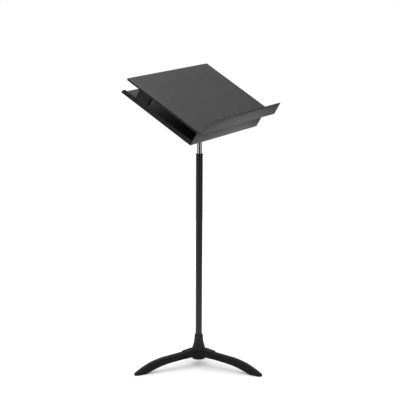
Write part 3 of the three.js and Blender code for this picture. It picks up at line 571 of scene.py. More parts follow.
FLUSH_HEAD = [(RIVET_R, -0.95), (RIVET_R, -0.9), (3.2, -0.06), (3.1, 0), (1.0, -0.06), (0, -0.08)]
DOME_H = 1.5
DOME_R = 3.6
DOME_RIM = 0.1
DOME_RISE = 1.35
DOME_HEAD = [
    (RIVET_R, 0), (3.5, 0), (DOME_R, DOME_RIM),
    *[(DOME_R * math.cos(a), DOME_RIM + DOME_RISE * math.sin(a)) for a in turns(12, 78, 6)],
    (0, DOME_RIM + DOME_RISE),
]
SINK_R = 3.45
SINK_DEPTH = 1.0
LIP_RIVETS = [f"lip_rivet_{i}" for i in (1, 2, 3)]
TOP_RIVETS = [f"strap_top_rivet_{side}_{i}" for side in ("left", "right") for i in (1, 2)]


def countersinks():
    """Cutters for the flush rivets in the upper desk's face."""
    below, above = -SINK_DEPTH * 3, 1
    profile = [(0, below), (RIVET_R, below), (RIVET_R, -SINK_DEPTH)]
    profile += [(SINK_R, 0), (SINK_R, above), (0, above)]
    cutters = []
    for node in LIP_RIVETS + TOP_RIVETS:
        low, high = box_in(node, DESK)
        spot = (low + high) / 2
        cutter = lathe("countersink", profile, TINY)
        cutters.append(moved(cutter, Matrix.Translation((spot.x, spot.y, FACE_Z))))
    return cutters


def build_upper_desk():
    low, high = box_in("upper_desk", DESK)
    middle = FACE_Z - SHEET / 2
    front = low.y + SHEET / 2
    rear = high.y - SHEET / 2
    side = high.x - SHEET / 2
    plate = side - FOLD_R
    hem_start = low.y + DESK_RELIEF
    corner_x = side - DESK_CORNER_R
    corner_y = rear - DESK_CORNER_R
    path = [(side, hem_start, 1, 0)]
    for centre, first in ((corner_x, 0), (-corner_x, 90)):
        for angle in turns(first, first + 90, CORNER_STEPS):
            nx, ny = math.cos(angle), math.sin(angle)
            path.append((centre + DESK_CORNER_R * nx, corner_y + DESK_CORNER_R * ny, nx, ny))
    path.append((-side, hem_start, -1, 0))
    levels = []
    for a in turns(0, 90, FOLD_STEPS):
        inset, below = round_off(FOLD_R, a)
        levels.append((inset, middle - below))
    levels.append((0, low.z))
    hem = [[(x - nx * inset, y - ny * inset, z) for x, y, nx, ny in path] for inset, z in levels]
    lip_half = high.x - LIP_INSET
    lip = []
    for i, a in enumerate(turns(0, 90, FOLD_STEPS)):
        half = between(plate, lip_half, i / FOLD_STEPS)
        behind, above = round_off(FOLD_R, a)
        lip.append([(way * half, front + behind, middle + above) for way in (-1, 1)])
    for a in turns(0, 90, CORNER_STEPS):
        left_down, left_in = round_off(LIP_LEFT_R, a)
        right_down, right_in = round_off(LIP_RIGHT_R, a)
        lip.append([
            (left_in - lip_half, front, high.z - left_down),
            (lip_half - right_in, front, high.z - right_down),
        ])
    sheet = Sheet()
    sheet.strip(hem)
    sheet.strip(lip)
    start = front + FOLD_R
    sheet.panel([(-plate, start, middle), (plate, start, middle), *hem[0]])
    desk = sheet.made("upper_desk_sheet", SHEET, EDGE_BREAK)
    show(combined(desk, countersinks(), "DIFFERENCE"), "upper_desk", DESK)


def build_tray():
    low, high = box_in("storage_tray", DESK)
    middle = low.z + SHEET / 2
    front = low.y + SHEET / 2
    side = high.x - SHEET / 2
    top = high.z - SHEET / 2
    start = front + FOLD_R
    plate = side - FOLD_R
    tuck = side - TRAY_RETURN_INSET
    lip = [(tuck, front + TRAY_RETURN, top)]
    for i, a in enumerate(turns(0, 90, FOLD_STEPS)):
        behind, below = round_off(FOLD_R, a)
        lip.append((between(tuck, side, i / FOLD_STEPS), front + behind, top - below))
    for i, a in enumerate(turns(90, 0, FOLD_STEPS)):
        behind, above = round_off(FOLD_R, a)
        lip.append((between(side, plate, (i / FOLD_STEPS) ** 2), front + behind, middle + above))
    flange_top = low.z + TRAY_SIDE_H
    flange_front = low.y + SHEET + TRAY_CORNER_GAP
    flange = []
    for i, a in enumerate(turns(0, 90, FOLD_STEPS)):
        inside, above = round_off(FOLD_R, a)
        flange_start = between(start, flange_front, i / FOLD_STEPS)
        flange.append((side - inside, flange_start, high.y, middle + above))
    for a in turns(0, 90, CORNER_STEPS):
        down, inside = round_off(TRAY_CORNER_R, a)
        flange.append((side, flange_front, high.y - inside, flange_top - down))
    sheet = Sheet()
    sheet.strip([[(-half, y, z), (half, y, z)] for half, y, z in lip])
    for way in (1, -1):
        sheet.strip([[(way * x, y0, z), (way * x, y1, z)] for x, y0, y1, z in flange])
    sheet.panel([(x, y, middle) for x, y in rectangle(-plate, start, plate, high.y)])
    show(sheet.made("storage_tray_sheet", SHEET, EDGE_BREAK), "storage_tray", DESK)


def build_strap(node, way):
    """A strap: an upright, a flange under the upper desk and a folded front edge."""
    low, high = box_in(node, DESK)
    outer = max(abs(low.x), abs(high.x)) - STRAP_T / 2
    reach = high.x - low.x - STRAP_T / 2
    front = low.y + STRAP_T / 2
    top = high.z - STRAP_T / 2
    start = front + STRAP_FOLD_R
    notch = top - STRAP_FOLD_R - STRAP_NOTCH
    upright = [
        (reach, start, high.y - STRAP_CHAMFER, top),
        (reach - STRAP_CHAMFER, start, high.y, top),
    ]
    edge = []
    for a in turns(0, 90, FOLD_STEPS):
        inside, below = round_off(STRAP_FOLD_R, a)
        upright.append((inside, start, high.y, top - below))
        edge.append((below, front + inside, 0))
    upright += [(0, start, high.y, z) for z in (notch, STRAP_FOLD_LOW, low.z + STRAP_CHAMFER)]
    upright.append((0, start + STRAP_CHAMFER, high.y - STRAP_CHAMFER, low.z))
    edge += [(STRAP_FRONT_W - STRAP_CHAMFER, front, 0), (STRAP_FRONT_W, front, STRAP_CHAMFER)]

    def across(inset):
        return way * (outer - inset)

    sheet = Sheet()
    sheet.strip([[(across(u), y0, z), (across(u), y1, z)] for u, y0, y1, z in upright])
    sheet.strip([
        [(across(u), y, STRAP_FOLD_LOW + trim), (across(u), y, notch - trim)]
        for u, y, trim in edge
    ])
    show(sheet.made(f"{node}_sheet", STRAP_T, STRAP_EDGE_BREAK), node, DESK)


def show_rivet(node, head, length, place):
    """A rivet drawn about Z with its head's seat at z = 0 and the given length below that."""
    profile = [(r, z - length) for r, z in RIVET_TAIL] + head
    rivet = moved(lathe(f"{node}_turned", profile, TINY), place)
    show(rivet, node, DESK, angle=40)


def build_rivets():
    upright = [(node, FLUSH_HEAD, 0) for node in LIP_RIVETS + TOP_RIVETS]
    upright += [(f"bracket_rivet_{i}", DOME_HEAD, DOME_H) for i in (1, 2, 3, 4)]
    for node, head, rise in upright:
        low, high = box_in(node, DESK)
        middle = (low + high) / 2
        seat = Matrix.Translation((middle.x, middle.y, high.z - rise))
        show_rivet(node, head, high.z - low.z - rise, seat)
    for side, way in (("left", -1), ("right", 1)):
        for i in (1, 2):
            node = f"strap_side_rivet_{side}_{i}"
            low, high = box_in(node, DESK)
            middle = (low + high) / 2
            outside = high.x if way > 0 else low.x
            seat = Matrix.Translation((outside - way * DOME_H, middle.y, middle.z))
            turn = Matrix.Rotation(way * math.pi / 2, 4, "Y")
            show_rivet(node, DOME_HEAD, high.x - low.x - DOME_H, seat @ turn)


# -------- tilt bracket, head and bolt
BRACKET_T = 2.5
BRACKET_CORNER_R = 8
BRACKET_BREAK = 0.35
EAR_R = 13.5
EAR_ROOT = 25
EAR_FLARE = 0.12  # how much sooner than a tangent, in radians, an ear's side leaves its round end
EAR_OVERLAP = 0.4
EAR_INNER = 12
BOLT_HOLE_R = 4.3
WELD_LEG = 3
WELD_FILL = 0.72
WELD_DEPTH = 0.5
WELD_END = 2  # a bead stops this far from the ear's root corner
WELD_START = 0.3
WELD_RIPPLES = 30
WELD_RIPPLE = 0.1
RIPPLE_STEPS = 4
HEAD_EYE_R = 12
HEAD_SHANK = 9
HEAD_HALF_W = 10
COLLAR_LOW = -22
COLLAR_HIGH = -15
COLLAR_R = 10.5
COLLAR_CHAMFER = 1
HEAD_OVERLAP = 1
SPIGOT_INSET = 1.5
SPIGOT_CHAMFER = 1.5
CAST_VOXEL = 0.35
TILT_BOLT_R = 4
TILT_PITCH = 1.25
THREAD_LEAD = 4  # the thread starts this far before the nut
NUT_H = 5.5
NUT_RING = 0.8  # the locking ring's radius as a share of the hexagon's
NUT_GAP = 0.1
SPRING_DISH = 0.45
HEX_FLATS = 0.84  # shares of a hexagon's corner radius
HEX_RIM = 0.88
HEX_TOP = 0.8
HEX_RING = 0.25
HEX_CHAMFER = 1.1
ROD_CHAMFER = 0.4
ROD_TIP = 0.3
THREAD_ROOT = 0.86
THREAD = ((THREAD_ROOT, 0.45), (THREAD_ROOT, 0.55), (1, 0.95), (1, 1))  # radius and pitch shares


def bore(radius, half_length, place=Matrix()):
    """A rod along X that drills a hole."""
    return moved(rod("bore", radius, -half_length, half_length, SMALL), place @ ALONG_X)


def build_bracket():
    low, high = box_in("tilt_bracket", DESK)
    plate_low = high.z - BRACKET_T
    corners = filleted(rectangle(low.x, low.y, high.x, high.y), BRACKET_CORNER_R)
    plate = prism("tilt_bracket_plate", corners, plate_low, high.z)
    reach = math.atan2(plate_low, EAR_ROOT - EAR_R) - EAR_FLARE
    open_angle = math.degrees(math.pi / 2 - reach)
    ear = arc((0, 0), EAR_R, 180 + open_angle, 360 - open_angle, 24)
    root = plate_low + EAR_OVERLAP
    ear += [(EAR_ROOT, root), (-EAR_ROOT, root)]
    ears = [
        side_prism("ear", ear, *sorted((way * EAR_INNER, way * (EAR_INNER + BRACKET_T))))
        for way in (1, -1)
    ]
    made = bevelled(combined(plate, ears), BRACKET_BREAK)
    hole = bore(BOLT_HOLE_R, half_length=40)
    show(combined(made, [hole], "DIFFERENCE"), "tilt_bracket", DESK)
    for way in (1, -1):
        show_weld(way * (EAR_INNER + BRACKET_T), way, plate_low)


def show_weld(x, way, plate_low):
    """A rippled bead along the outside of an ear's root."""
    half_length = EAR_ROOT - WELD_END
    last = WELD_RIPPLES * RIPPLE_STEPS
    rows = []
    for s in range(last + 1):
        along = between(-half_length, half_length, s / last)
        ripple = 1 + WELD_RIPPLE * math.cos(2 * math.pi * s / RIPPLE_STEPS)
        leg = WELD_LEG * (ripple if 0 < s < last else WELD_START)
        bead = [
            (x + way * leg * math.sin(a) * WELD_FILL, along,
             plate_low - leg * math.cos(a) * WELD_FILL)
            for a in turns(0, 90, ROUND_STEPS)
        ]
        rows.append([(x - way * WELD_DEPTH, along, plate_low + WELD_DEPTH), *bead])
    width = len(rows[0])
    points = [p for row in rows for p in row]
    faces = grid_faces(len(rows), width)
    starts = range(0, len(points) - width, width)
    faces += [(s, s + width - 1, s + 2 * width - 1, s + width) for s in starts]
    faces += [tuple(range(width)), tuple(range(len(points) - width, len(points)))]
    side = "right" if way > 0 else "left"
    weld = moved(mesh_piece(f"tilt_bracket_weld_{side}", points, faces), DESK)
    weld.data.materials.append(FINISHES["black_powder_coat"])
    weld.data.shade_smooth()
    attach(weld, "desk")


def build_head():
    low = box_in("mast_head", HEAD)[0]
    spigot_r = box_in("inner_tube", HEAD)[1].x - SPIGOT_INSET
    grip = math.degrees(math.acos(HEAD_SHANK / HEAD_EYE_R))
    foot = COLLAR_HIGH - HEAD_OVERLAP
    eye = [(-HEAD_SHANK, foot), (HEAD_SHANK, foot)]
    eye += arc((0, 0), HEAD_EYE_R, -grip, 180 + grip, 48)
    body = side_prism("mast_head_casting", eye, -HEAD_HALF_W, HEAD_HALF_W)
    face_r = COLLAR_R - COLLAR_CHAMFER
    collar = lathe("collar", [
        (0, COLLAR_LOW), (face_r, COLLAR_LOW), (COLLAR_R, COLLAR_LOW + COLLAR_CHAMFER),
        (COLLAR_R, COLLAR_HIGH - COLLAR_CHAMFER), (face_r, COLLAR_HIGH), (0, COLLAR_HIGH),
    ])
    spigot_top = COLLAR_LOW + 0.5
    spigot = lathe("spigot", [
        (0, low.z), (spigot_r - SPIGOT_CHAMFER, low.z), (spigot_r, low.z + SPIGOT_CHAMFER),
        (spigot_r, spigot_top), (0, spigot_top),
    ], SMALL)
    made = aged_cast(combined(body, [collar, spigot]), CAST_VOXEL, smoothing=12, kept=0.2)
    hole = bore(BOLT_HOLE_R, half_length=30)
    show(combined(made, [hole], "DIFFERENCE"), "mast_head", HEAD)


def hexagon(radius):
    return arc((0, 0), radius, 0, 300, 5)


def hex_head(name, radius, height):
    """A hexagon from z = 0 up, chamfered on top and faced with a washer ring below."""
    flats = radius * HEX_FLATS
    past = radius + 0.2
    cone = lathe("cone", [
        (0, 0), (flats, 0), (radius * HEX_RIM, HEX_RING), (past, HEX_RING),
        (past, height - HEX_CHAMFER), (flats, height - 0.05), (radius * HEX_TOP, height),
        (0, height),
    ], 72)
    return combined(prism(name, hexagon(radius), 0, height), [cone], "INTERSECT")


def threaded_rod(name, radius, low, high, thread_low, pitch):
    """A rod about Z with a thread from thread_low to its top."""
    profile = [(0, low), (radius - ROD_CHAMFER, low), (radius, low + ROD_CHAMFER)]
    profile.append((radius, thread_low))
    tip = high - ROD_TIP
    z = thread_low
    while z + pitch < tip:
        profile += [(radius * share, z + pitch * along) for share, along in THREAD]
        z += pitch
    profile += [(radius * THREAD_ROOT, tip), (radius * 0.8, high), (0, high)]
    return lathe(name, profile, SMALL)


def washer(name, inner, outer, low, high, dish=0.0):
    """A washer about Z with rounded rims, its bore raised by the dish."""
    r = min(0.25, (high - low) * 0.3)
    profile = [
        (inner + r, low + dish), (outer - r, low), (outer, low + r), (outer, high - dish - r),
        (outer - r, high - dish), (inner + r, high), (inner, high - r), (inner, low + dish + r),
    ]
    return lathe(name, profile, closed=True)


def build_tilt_bolt():
    low, high = box_in("tilt_bolt", DESK)
    seat = box_in("tilt_lock_nut", DESK)[0].x
    hex_r = max(high.y, high.z)
    head = moved(hex_head("tilt_bolt_steel", hex_r, -seat - low.x), UPSIDE_DOWN)
    thread_low = 2 * seat - THREAD_LEAD
    shank = threaded_rod("shank", TILT_BOLT_R, 0, high.x + seat, thread_low, TILT_PITCH)
    bolt = combined(head, [shank])
    show(moved(bolt, Matrix.Translation((-seat, 0, 0)) @ ALONG_X), "tilt_bolt", DESK)
    nut = hex_head("tilt_lock_nut_steel", hex_r, NUT_H)
    hole_r = TILT_BOLT_R + NUT_GAP
    ring_r = hex_r * NUT_RING
    collar = lathe("collar", [
        (hole_r, NUT_H - 0.5), (ring_r, NUT_H - 0.5), (ring_r, NUT_H + 0.7),
        (hex_r * 0.7, NUT_H + 1.4), (TILT_BOLT_R + 0.6, NUT_H + 1.5), (hole_r, NUT_H + 1.2),
    ], closed=True)
    nut = combined(nut, [rod("bore", hole_r, -1, 10, SMALL)], "DIFFERENCE")
    nut = moved(combined(nut, [collar]), Matrix.Translation((seat, 0, 0)) @ ALONG_X)
    show(nut, "tilt_lock_nut", DESK)
    for side, way in (("right", 1), ("left", -1)):
        for kind, dish in (("friction", 0.0), ("spring", SPRING_DISH)):
            node = f"{kind}_washer_{side}"
            low, high = box_in(node, DESK)
            disc = washer(f"{node}_disc", BOLT_HOLE_R, high.y, 0, high.x - low.x, dish)
            inside = low.x if way > 0 else high.x
            turn = Matrix.Rotation(way * math.pi / 2, 4, "Y")
            show(moved(disc, Matrix.Translation((inside, 0, 0)) @ turn), node, DESK)


# -------- post
OUTER_WALL = 1.5
INNER_WALL = 1.2
TUBE_CHAMFER = 0.3
TUBE_GAP = 0.3
TUBE_RIM = 0.7
INNER_RIM = 0.4
BUSHING_CHAMFER = 0.5
FLANGE_CHAMFER = 0.4
GUIDE_GAP = 0.15
BUSHING_SHOULDER_R = 2.6
PIN_R = 2
PIN_GAP = 0.25
PIN_CHAMFER = 0.4


def build_post():
    low, high = box_in("outer_tube", POST)
    r = high.x
    tube_top = high.z
    inside = r - OUTER_WALL
    tube = lathe("outer_tube_drawn", [
        (inside, low.z), (r - TUBE_CHAMFER, low.z), (r, low.z + TUBE_CHAMFER),
        (r, high.z - TUBE_RIM), (r - 0.2, high.z - 0.2), (r - TUBE_RIM, high.z), (inside, high.z),
    ], FINE, closed=True)
    show(tube, "outer_tube", POST)

    low, high = box_in("post_bushing", POST)
    cap = high.x
    guide = box_in("inner_tube", POST)[1].x + GUIDE_GAP
    seat = tube_top + TUBE_GAP
    skirt = inside - TUBE_GAP
    shoulder = []
    for a in turns(10, 90, 8):
        down, inward = round_off(BUSHING_SHOULDER_R, a)
        shoulder.append((cap - inward, high.z - down))
    bushing = lathe("post_bushing_moulded", [
        (guide, low.z), (skirt - BUSHING_CHAMFER, low.z), (skirt, low.z + BUSHING_CHAMFER),
        (skirt, seat), (cap - FLANGE_CHAMFER, seat), (cap, seat + FLANGE_CHAMFER),
        (cap, high.z - BUSHING_SHOULDER_R), *shoulder,
        (guide + BUSHING_CHAMFER, high.z), (guide, high.z - BUSHING_CHAMFER),
    ], FINE, closed=True)
    show(bushing, "post_bushing", POST)

    low, high = box_in("inner_tube", POST)
    r = high.x
    inside = r - INNER_WALL
    chrome = lathe("inner_tube_drawn", [
        (inside, low.z), (r - TUBE_CHAMFER, low.z), (r, low.z + TUBE_CHAMFER),
        (r, high.z - INNER_RIM), (r - INNER_RIM, high.z), (inside, high.z),
    ], 2 * MEDIUM, closed=True)
    pin_low, pin_high = box_in("head_pin", POST)
    pin_place = Matrix.Translation((0, 0, (pin_low.z + pin_high.z) / 2))
    hole = bore(PIN_R + PIN_GAP, half_length=20, place=pin_place)
    show(combined(chrome, [hole], "DIFFERENCE"), "inner_tube", POST)
    half = pin_high.x
    pin = lathe("head_pin_ground", [
        (0, -half), (PIN_R - PIN_CHAMFER, -half), (PIN_R, PIN_CHAMFER - half),
        (PIN_R, half - PIN_CHAMFER), (PIN_R - PIN_CHAMFER, half), (0, half),
    ], 40)
    show(moved(pin, pin_place @ ALONG_X), "head_pin", POST)


# -------- base
LEG_NAMES = ("front", "rear_right", "rear_left")
CURVE_STEPS = 8
TOE_START = (243, 8.4)
TOE_TIP_Z = 5.6
SOLE_START = 201
LEG_BOTTOM = 3.3
LEG_TOP = smooth_curve([
    (24, 56.2), (42, 53.9), (68, 51.4), (107, 48.3), (146, 44.5), (184, 35.8), (217, 22.3),
    TOE_START,
], CURVE_STEPS)
LEG_UNDER = smooth_curve([
    (24, 34.4), (57, 30.8), (110, 25.6), (138, 21.8), (157, 17.6), (177, 11.4),
    (SOLE_START, LEG_BOTTOM),
], CURVE_STEPS)
LEG_WALL = 2.4
LEG_HALF_W = 11
LEG_TIP_HALF_W = 8.5
LEG_EDGE_R = 2.0
LEG_NOSE_R = 7.5
LEG_CROWN = 0.3
LEG_BREAK = 0.3
EDGE_SHARE = 0.45  # the most of a leg's height or half width that its edge takes up
LEG_GAP = 0.3
POCKET_END = 100
SOLE_HEEL_R = 1.5
SOLE_GAP = 0.3
SOLE_BREAK = 0.5
PLUG_START = 3  # from the sole's heel
PLUG_END = 22
TREAD_START = 6
TREAD_END = 8  # from the sole's tip
TREAD_GROOVES = 6
GROOVE_HALF_W = 0.9
GROOVE_DEPTH = 0.8
PAD_ROCKER = 15  # the sole's tip curves up over this length
PAD_LIFT = 2.2
SCREW_R = 2.4
SCREW_HEAD_R = 4.2
SCREW_HEAD_H = 4.6
BOSS_R = 26
BOSS_TOP = 57.3
ARM_END = 60
ARM_HALF_W = 13.5
ARM_PROFILE = [(22.5, 33), (ARM_END, 30.5), (ARM_END, 51.2), (ARM_END - 3, 54.2), (22.5, 59.2)]
NECK_SEAT_R = 23.7
NECK_GAP = 0.25
TUBE_SEAT_Z = 36.5
BOLT_RECESS_R = 12.5
BOLT_RECESS_TOP = 31
BASE_BOLT_R = 5
BASE_BOLT_HOLE_R = 5.3
BASE_PITCH = 1.5
BASE_THREAD_LOW = 8
BASE_HEX_R = 8.5
BASE_HEX_H = 5.8
NECK_PROFILE = [
    (23.4, 57.6), (23.1, 59.2), (21.4, 64), (19.4, 71), (17.3, 79), (15.9, 88), (15.2, 97),
    (14.8, 104), (14, 107.4), (12.6, 109.2),
]


def leg_frame(name):
    """The millimetre frame of a leg, which lies along its own +X."""
    foot = Vector(MOUNTS[f"{name}_foot"]["pos_m"])
    return POST @ Matrix.Rotation(math.atan2(foot.y - HINGE.y, foot.x - HINGE.x), 4, "Z")


def leg_half_width(r, reach):
    taper = between(LEG_HALF_W, LEG_TIP_HALF_W, min(max((r - ARM_END) / (reach - ARM_END), 0), 1))
    into_nose = r - (reach - LEG_NOSE_R)
    if into_nose <= 0:
        return taper
    return taper - LEG_NOSE_R + math.sqrt(max(LEG_NOSE_R ** 2 - into_nose ** 2, 0))


def build_leg(name):
    """A pressed channel, open below, with soft top edges and a closed, rounded toe."""
    node = f"leg_{name}"
    place = leg_frame(name)
    reach = box_in(node, place)[1].x
    toe_r, toe_z = TOE_START
    nose = [reach - LEG_NOSE_R * (1 - math.sin(a)) for a in turns(0, 90, 10)]
    stations = {round(p[0], 3) for p in LEG_TOP if p[0] < nose[0]} | {SOLE_START, *nose}
    points = []
    for r in sorted(stations):
        half = leg_half_width(r, reach)
        if r < toe_r:
            top = height_at(LEG_TOP, r)
        else:
            top = between(toe_z, TOE_TIP_Z, (r - toe_r) / (reach - toe_r))
        bottom = height_at(LEG_UNDER, r) if r < SOLE_START else LEG_BOTTOM
        edge = min(LEG_EDGE_R, half * EDGE_SHARE, (top - bottom) * EDGE_SHARE)
        crown = LEG_CROWN * half / LEG_HALF_W
        right = [(r, half, bottom), (r, half, between(bottom, top - edge, 0.5))]
        for a in turns(0, 90, ROUND_STEPS):
            down, inward = round_off(edge, a)
            right.append((r, half - inward, top - down - crown * 0.5))
        right.append((r, half * 0.4, top - crown * 0.12))
        points += right + [(r, 0, top)] + [(x, -y, z) for x, y, z in reversed(right)]
    count = len(points) // len(stations)
    faces = grid_faces(len(stations), count)
    faces.append(tuple(range(len(points) - count, len(points))))
    made = mesh_piece(f"{node}_pressing", points, faces)
    add(made, "SOLIDIFY", thickness=LEG_WALL, offset=-1, use_even_offset=False)
    made = bevelled(applied(made), LEG_BREAK, angle=50)
    show(made, node, place, angle=40)


def nose_outline(start, reach, half):
    radii = [SOLE_HEEL_R, LEG_NOSE_R, LEG_NOSE_R, SOLE_HEEL_R]
    return filleted(rectangle(start, -half, reach, half), radii, steps=8)


def build_pad(name):
    """A rubber sole with a grooved tread, and the plug that holds it in the leg."""
    node = f"foot_pad_{name}"
    place = leg_frame(name)
    low, high = box_in(node, place)
    sole_top = LEG_BOTTOM - SOLE_GAP
    outline = nose_outline(low.x, high.x, high.y)
    sole = prism(f"{node}_moulded", outline, low.z, sole_top)
    sole = bevelled(sole, SOLE_BREAK, segments=3)
    grooves = []
    for i in range(TREAD_GROOVES):
        x = between(low.x + TREAD_START, high.x - TREAD_END, i / (TREAD_GROOVES - 1))
        outline = rectangle(x - GROOVE_HALF_W, -20, x + GROOVE_HALF_W, 20)
        grooves.append(prism("groove", outline, -1, GROOVE_DEPTH))
    sole = combined(sole, grooves, "DIFFERENCE")
    half = high.y - LEG_WALL - 1
    outline = rectangle(low.x + PLUG_START, -half, low.x + PLUG_END, half)
    pad = combined(sole, [prism("plug", outline, 1, high.z)])
    for vertex in pad.data.vertices:
        into_tip = max(vertex.co.x - high.x + PAD_ROCKER, 0) / PAD_ROCKER
        vertex.co.z += PAD_LIFT * into_tip ** 2 * max(1 - vertex.co.z / sole_top, 0)
    show(pad, node, place)


def cap_screw(name, radius, length, head_r, head_h):
    """A cap screw with its seat at z = 0, its shank up and a hexagon socket below."""
    profile = [
        (0, -head_h), (head_r - 0.6, -head_h), (head_r - 0.15, -head_h + 0.2),
        (head_r, -head_h + 0.6), (head_r, -0.15), (head_r - 0.15, 0),
        (radius, 0), (radius, length - ROD_CHAMFER), (radius - ROD_CHAMFER, length), (0, length),
    ]
    socket = prism("socket", hexagon(head_r * 0.58), -head_h - 1, -head_h * 0.45)
    return combined(lathe(name, profile, SMALL), [socket], "DIFFERENCE")


def build_leg_screws(name):
    place = leg_frame(name)
    for i in (1, 2):
        node = f"leg_screw_{name}_{i}"
        low, high = box_in(node, place)
        length = high.z - low.z - SCREW_HEAD_H
        made = cap_screw(f"{node}_steel", SCREW_R, length, SCREW_HEAD_R, SCREW_HEAD_H)
        seat = Matrix.Translation(((low.x + high.x) / 2, 0, low.z + SCREW_HEAD_H))
        show(moved(made, seat), node, place)


def build_hub():
    low = box_in("base_hub", POST)[0]
    boss = lathe("base_hub_casting", [
        (0, low.z), (BOSS_R - 5, low.z), (BOSS_R - 1.5, low.z + 1.5), (BOSS_R, low.z + 5),
        (BOSS_R, BOSS_TOP - 3), (BOSS_R - 1, BOSS_TOP - 1), (BOSS_R - 3, BOSS_TOP), (0, BOSS_TOP),
    ], FINE)
    below = low.z - 5
    pocket_top = [(p.x, p.y + LEG_GAP) for p in LEG_TOP if p.x < POCKET_END]
    pocket = [(NECK_SEAT_R, below), (pocket_top[-1][0], below)]
    pocket += [*reversed(pocket_top), (NECK_SEAT_R, pocket_top[0][1])]
    pocket_half = LEG_HALF_W + LEG_GAP
    arms = []
    pockets = []
    for name in LEG_NAMES:
        place = POST.inverted() @ leg_frame(name) @ UPRIGHT
        arms.append(moved(prism("arm", ARM_PROFILE, -ARM_HALF_W, ARM_HALF_W), place))
        pockets.append(moved(prism("pocket", pocket, -pocket_half, pocket_half), place))
    tube_r = box_in("outer_tube", POST)[1].x + TUBE_GAP
    seats = [  # for the neck, the outer tube, the bolt's head and the bolt
        rod("seat", NECK_SEAT_R, BOSS_TOP, BOSS_TOP + 10, FINE),
        rod("seat", tube_r, TUBE_SEAT_Z, 70, FINE),
        rod("seat", BOLT_RECESS_R, 10, BOLT_RECESS_TOP, FINE),
        rod("seat", BASE_BOLT_HOLE_R, 0, 45, SMALL),
    ]
    hub = combined(combined(boss, arms), pockets + seats, "DIFFERENCE")
    show(aged_cast(hub, CAST_VOXEL, smoothing=14, kept=0.1), "base_hub", POST, angle=60)


def build_base():
    for name in LEG_NAMES:
        build_leg(name)
        build_pad(name)
        build_leg_screws(name)
    build_hub()
    low, high = box_in("neck_sleeve", POST)
    inner = box_in("outer_tube", POST)[1].x + NECK_GAP
    outside = [(p.x, p.y) for p in smooth_curve(NECK_PROFILE, 4)]
    neck = lathe("neck_sleeve_moulded", [
        (inner, low.z), *outside, (inner + 0.5, high.z), (inner, high.z - 0.4),
    ], FINE, closed=True)
    show(neck, "neck_sleeve", POST)
    low, high = box_in("base_washer", POST)
    disc = washer("base_washer_disc", BASE_BOLT_HOLE_R, high.x, low.z, high.z)
    show(disc, "base_washer", POST)
    low, high = box_in("base_bolt", POST)
    head = moved(hex_head("base_bolt_steel", BASE_HEX_R, BASE_HEX_H), UPSIDE_DOWN)
    length = high.z - low.z - BASE_HEX_H
    shank = threaded_rod("shank", BASE_BOLT_R, 0, length, BASE_THREAD_LOW, BASE_PITCH)
    bolt = moved(combined(head, [shank]), Matrix.Translation((0, 0, low.z + BASE_HEX_H)))
    show(bolt, "base_bolt", POST)


build_upper_desk()
build_tray()
build_strap("side_strap_left", -1)
build_strap("side_strap_right", 1)
build_rivets()
build_bracket()
build_head()
build_tilt_bolt()
build_post()
build_base()


# -------- stage, light and camera
CAMERA_AZIMUTH = math.radians(-59.97)
CAMERA_ELEVATION = math.radians(12.4)
CAMERA_ROLL = math.radians(0.23)
CAMERA_DISTANCE = 4.3242
CAMERA_AIM_HEIGHT = 0.58134
CAMERA_AIM_SIDE = 0.00252
CAMERA_LENS = 115.42
SENSOR_WIDTH = 36
FLOOR_RADIUS = 2.2
FLOOR_GREY = (0.88, 0.88, 0.88, 1)
FLOOR_GLOW = 0.17
WORLD_LOW = 0.05  # the surround's light on the stand from below and from above
WORLD_HIGH = 1.5
RISE_START = 0.1  # the sine of the heights between which it grows
RISE_END = 0.95
WHITE = (1, 1, 1, 1)


def make_camera():
    camera = new_object("camera", bpy.data.cameras.new("camera"))
    camera.data.lens = CAMERA_LENS
    camera.data.sensor_width = SENSOR_WIDTH
    turn = Matrix.Rotation(CAMERA_AZIMUTH, 4, "Z")
    tip = Matrix.Rotation(math.pi / 2 - CAMERA_ELEVATION, 4, "X")
    roll = Matrix.Rotation(CAMERA_ROLL, 4, "Z")
    right = turn @ Vector((1, 0, 0))
    back = turn @ tip @ Vector((0, 0, 1))
    aim = over_post(CAMERA_AIM_HEIGHT) + right * CAMERA_AIM_SIDE
    camera.matrix_world = Matrix.Translation(aim + back * CAMERA_DISTANCE) @ turn @ tip @ roll
    bpy.context.scene.camera = camera


def make_softbox(name, side, height, distance, size, power, aim_height=0.6):
    """An area light turned to the post, at an angle from the camera's side of the stand."""
    light = bpy.data.lights.new(name, "AREA")
    light.shape = "RECTANGLE"
    light.size, light.size_y = size
    light.energy = power
    placed = new_object(name, light)
    turn = CAMERA_AZIMUTH + math.radians(side)
    place = over_post(height) + Vector((math.sin(turn), -math.cos(turn), 0)) * distance
    look = place - over_post(aim_height)
    facing = look.to_track_quat("Z", "Y").to_matrix().to_4x4()
    placed.matrix_world = Matrix.Translation(place) @ facing


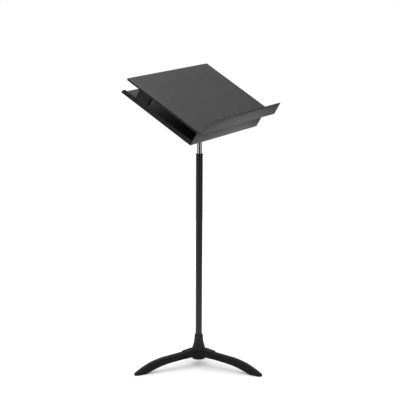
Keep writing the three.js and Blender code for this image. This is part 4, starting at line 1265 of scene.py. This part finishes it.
def make_world():
    """A white surround to look at, which lights the stand mostly from above."""
    world = bpy.data.worlds.new("studio")
    world.use_nodes = True
    bpy.context.scene.world = world
    tree = world.node_tree
    new, link = tree.nodes.new, tree.links.new
    shown = tree.nodes["Background"]
    put(shown, Color=WHITE, Strength=1.0)
    place = new("ShaderNodeTexCoord")
    split = new("ShaderNodeSeparateXYZ")
    link(place.outputs["Generated"], split.inputs[0])
    rise = new("ShaderNodeMapRange")
    rise.interpolation_type = "SMOOTHSTEP"
    put(rise, From_Min=RISE_START, From_Max=RISE_END, To_Min=WORLD_LOW, To_Max=WORLD_HIGH)
    link(split.outputs["Z"], rise.inputs["Value"])
    lit = new("ShaderNodeBackground")
    put(lit, Color=WHITE)
    link(rise.outputs["Result"], lit.inputs["Strength"])
    mix = new("ShaderNodeMixShader")
    path = new("ShaderNodeLightPath")
    link(path.outputs["Is Camera Ray"], mix.inputs["Fac"])
    link(lit.outputs[0], mix.inputs[1])
    link(shown.outputs[0], mix.inputs[2])
    link(mix.outputs[0], tree.nodes["World Output"].inputs["Surface"])


def make_floor():
    bpy.ops.mesh.primitive_circle_add(vertices=FINE, radius=FLOOR_RADIUS, fill_type="NGON")
    floor = bpy.context.object
    floor.name = "floor"
    floor.location = over_post(0)
    paper = bpy.data.materials.new("floor")
    paper.use_nodes = True
    shader = paper.node_tree.nodes["Principled BSDF"]
    put(shader, Base_Color=FLOOR_GREY, Roughness=0.9, Specular_IOR_Level=0.1)
    put(shader, Emission_Color=WHITE, Emission_Strength=FLOOR_GLOW)
    floor.data.materials.append(paper)


make_camera()
make_world()
make_floor()
make_softbox("softbox_left", side=-62, height=0.9, distance=2.4, size=(0.9, 1.6), power=6.5)
make_softbox("softbox_right", side=55, height=0.9, distance=2.4, size=(0.9, 1.6), power=3.5)
make_softbox(
    "softbox_top", side=180, height=2.6, distance=0.3, size=(1.0, 1.0), power=30, aim_height=0.0,
)
bpy.context.scene.view_settings.view_transform = "Standard"
dress_cad_nodes()
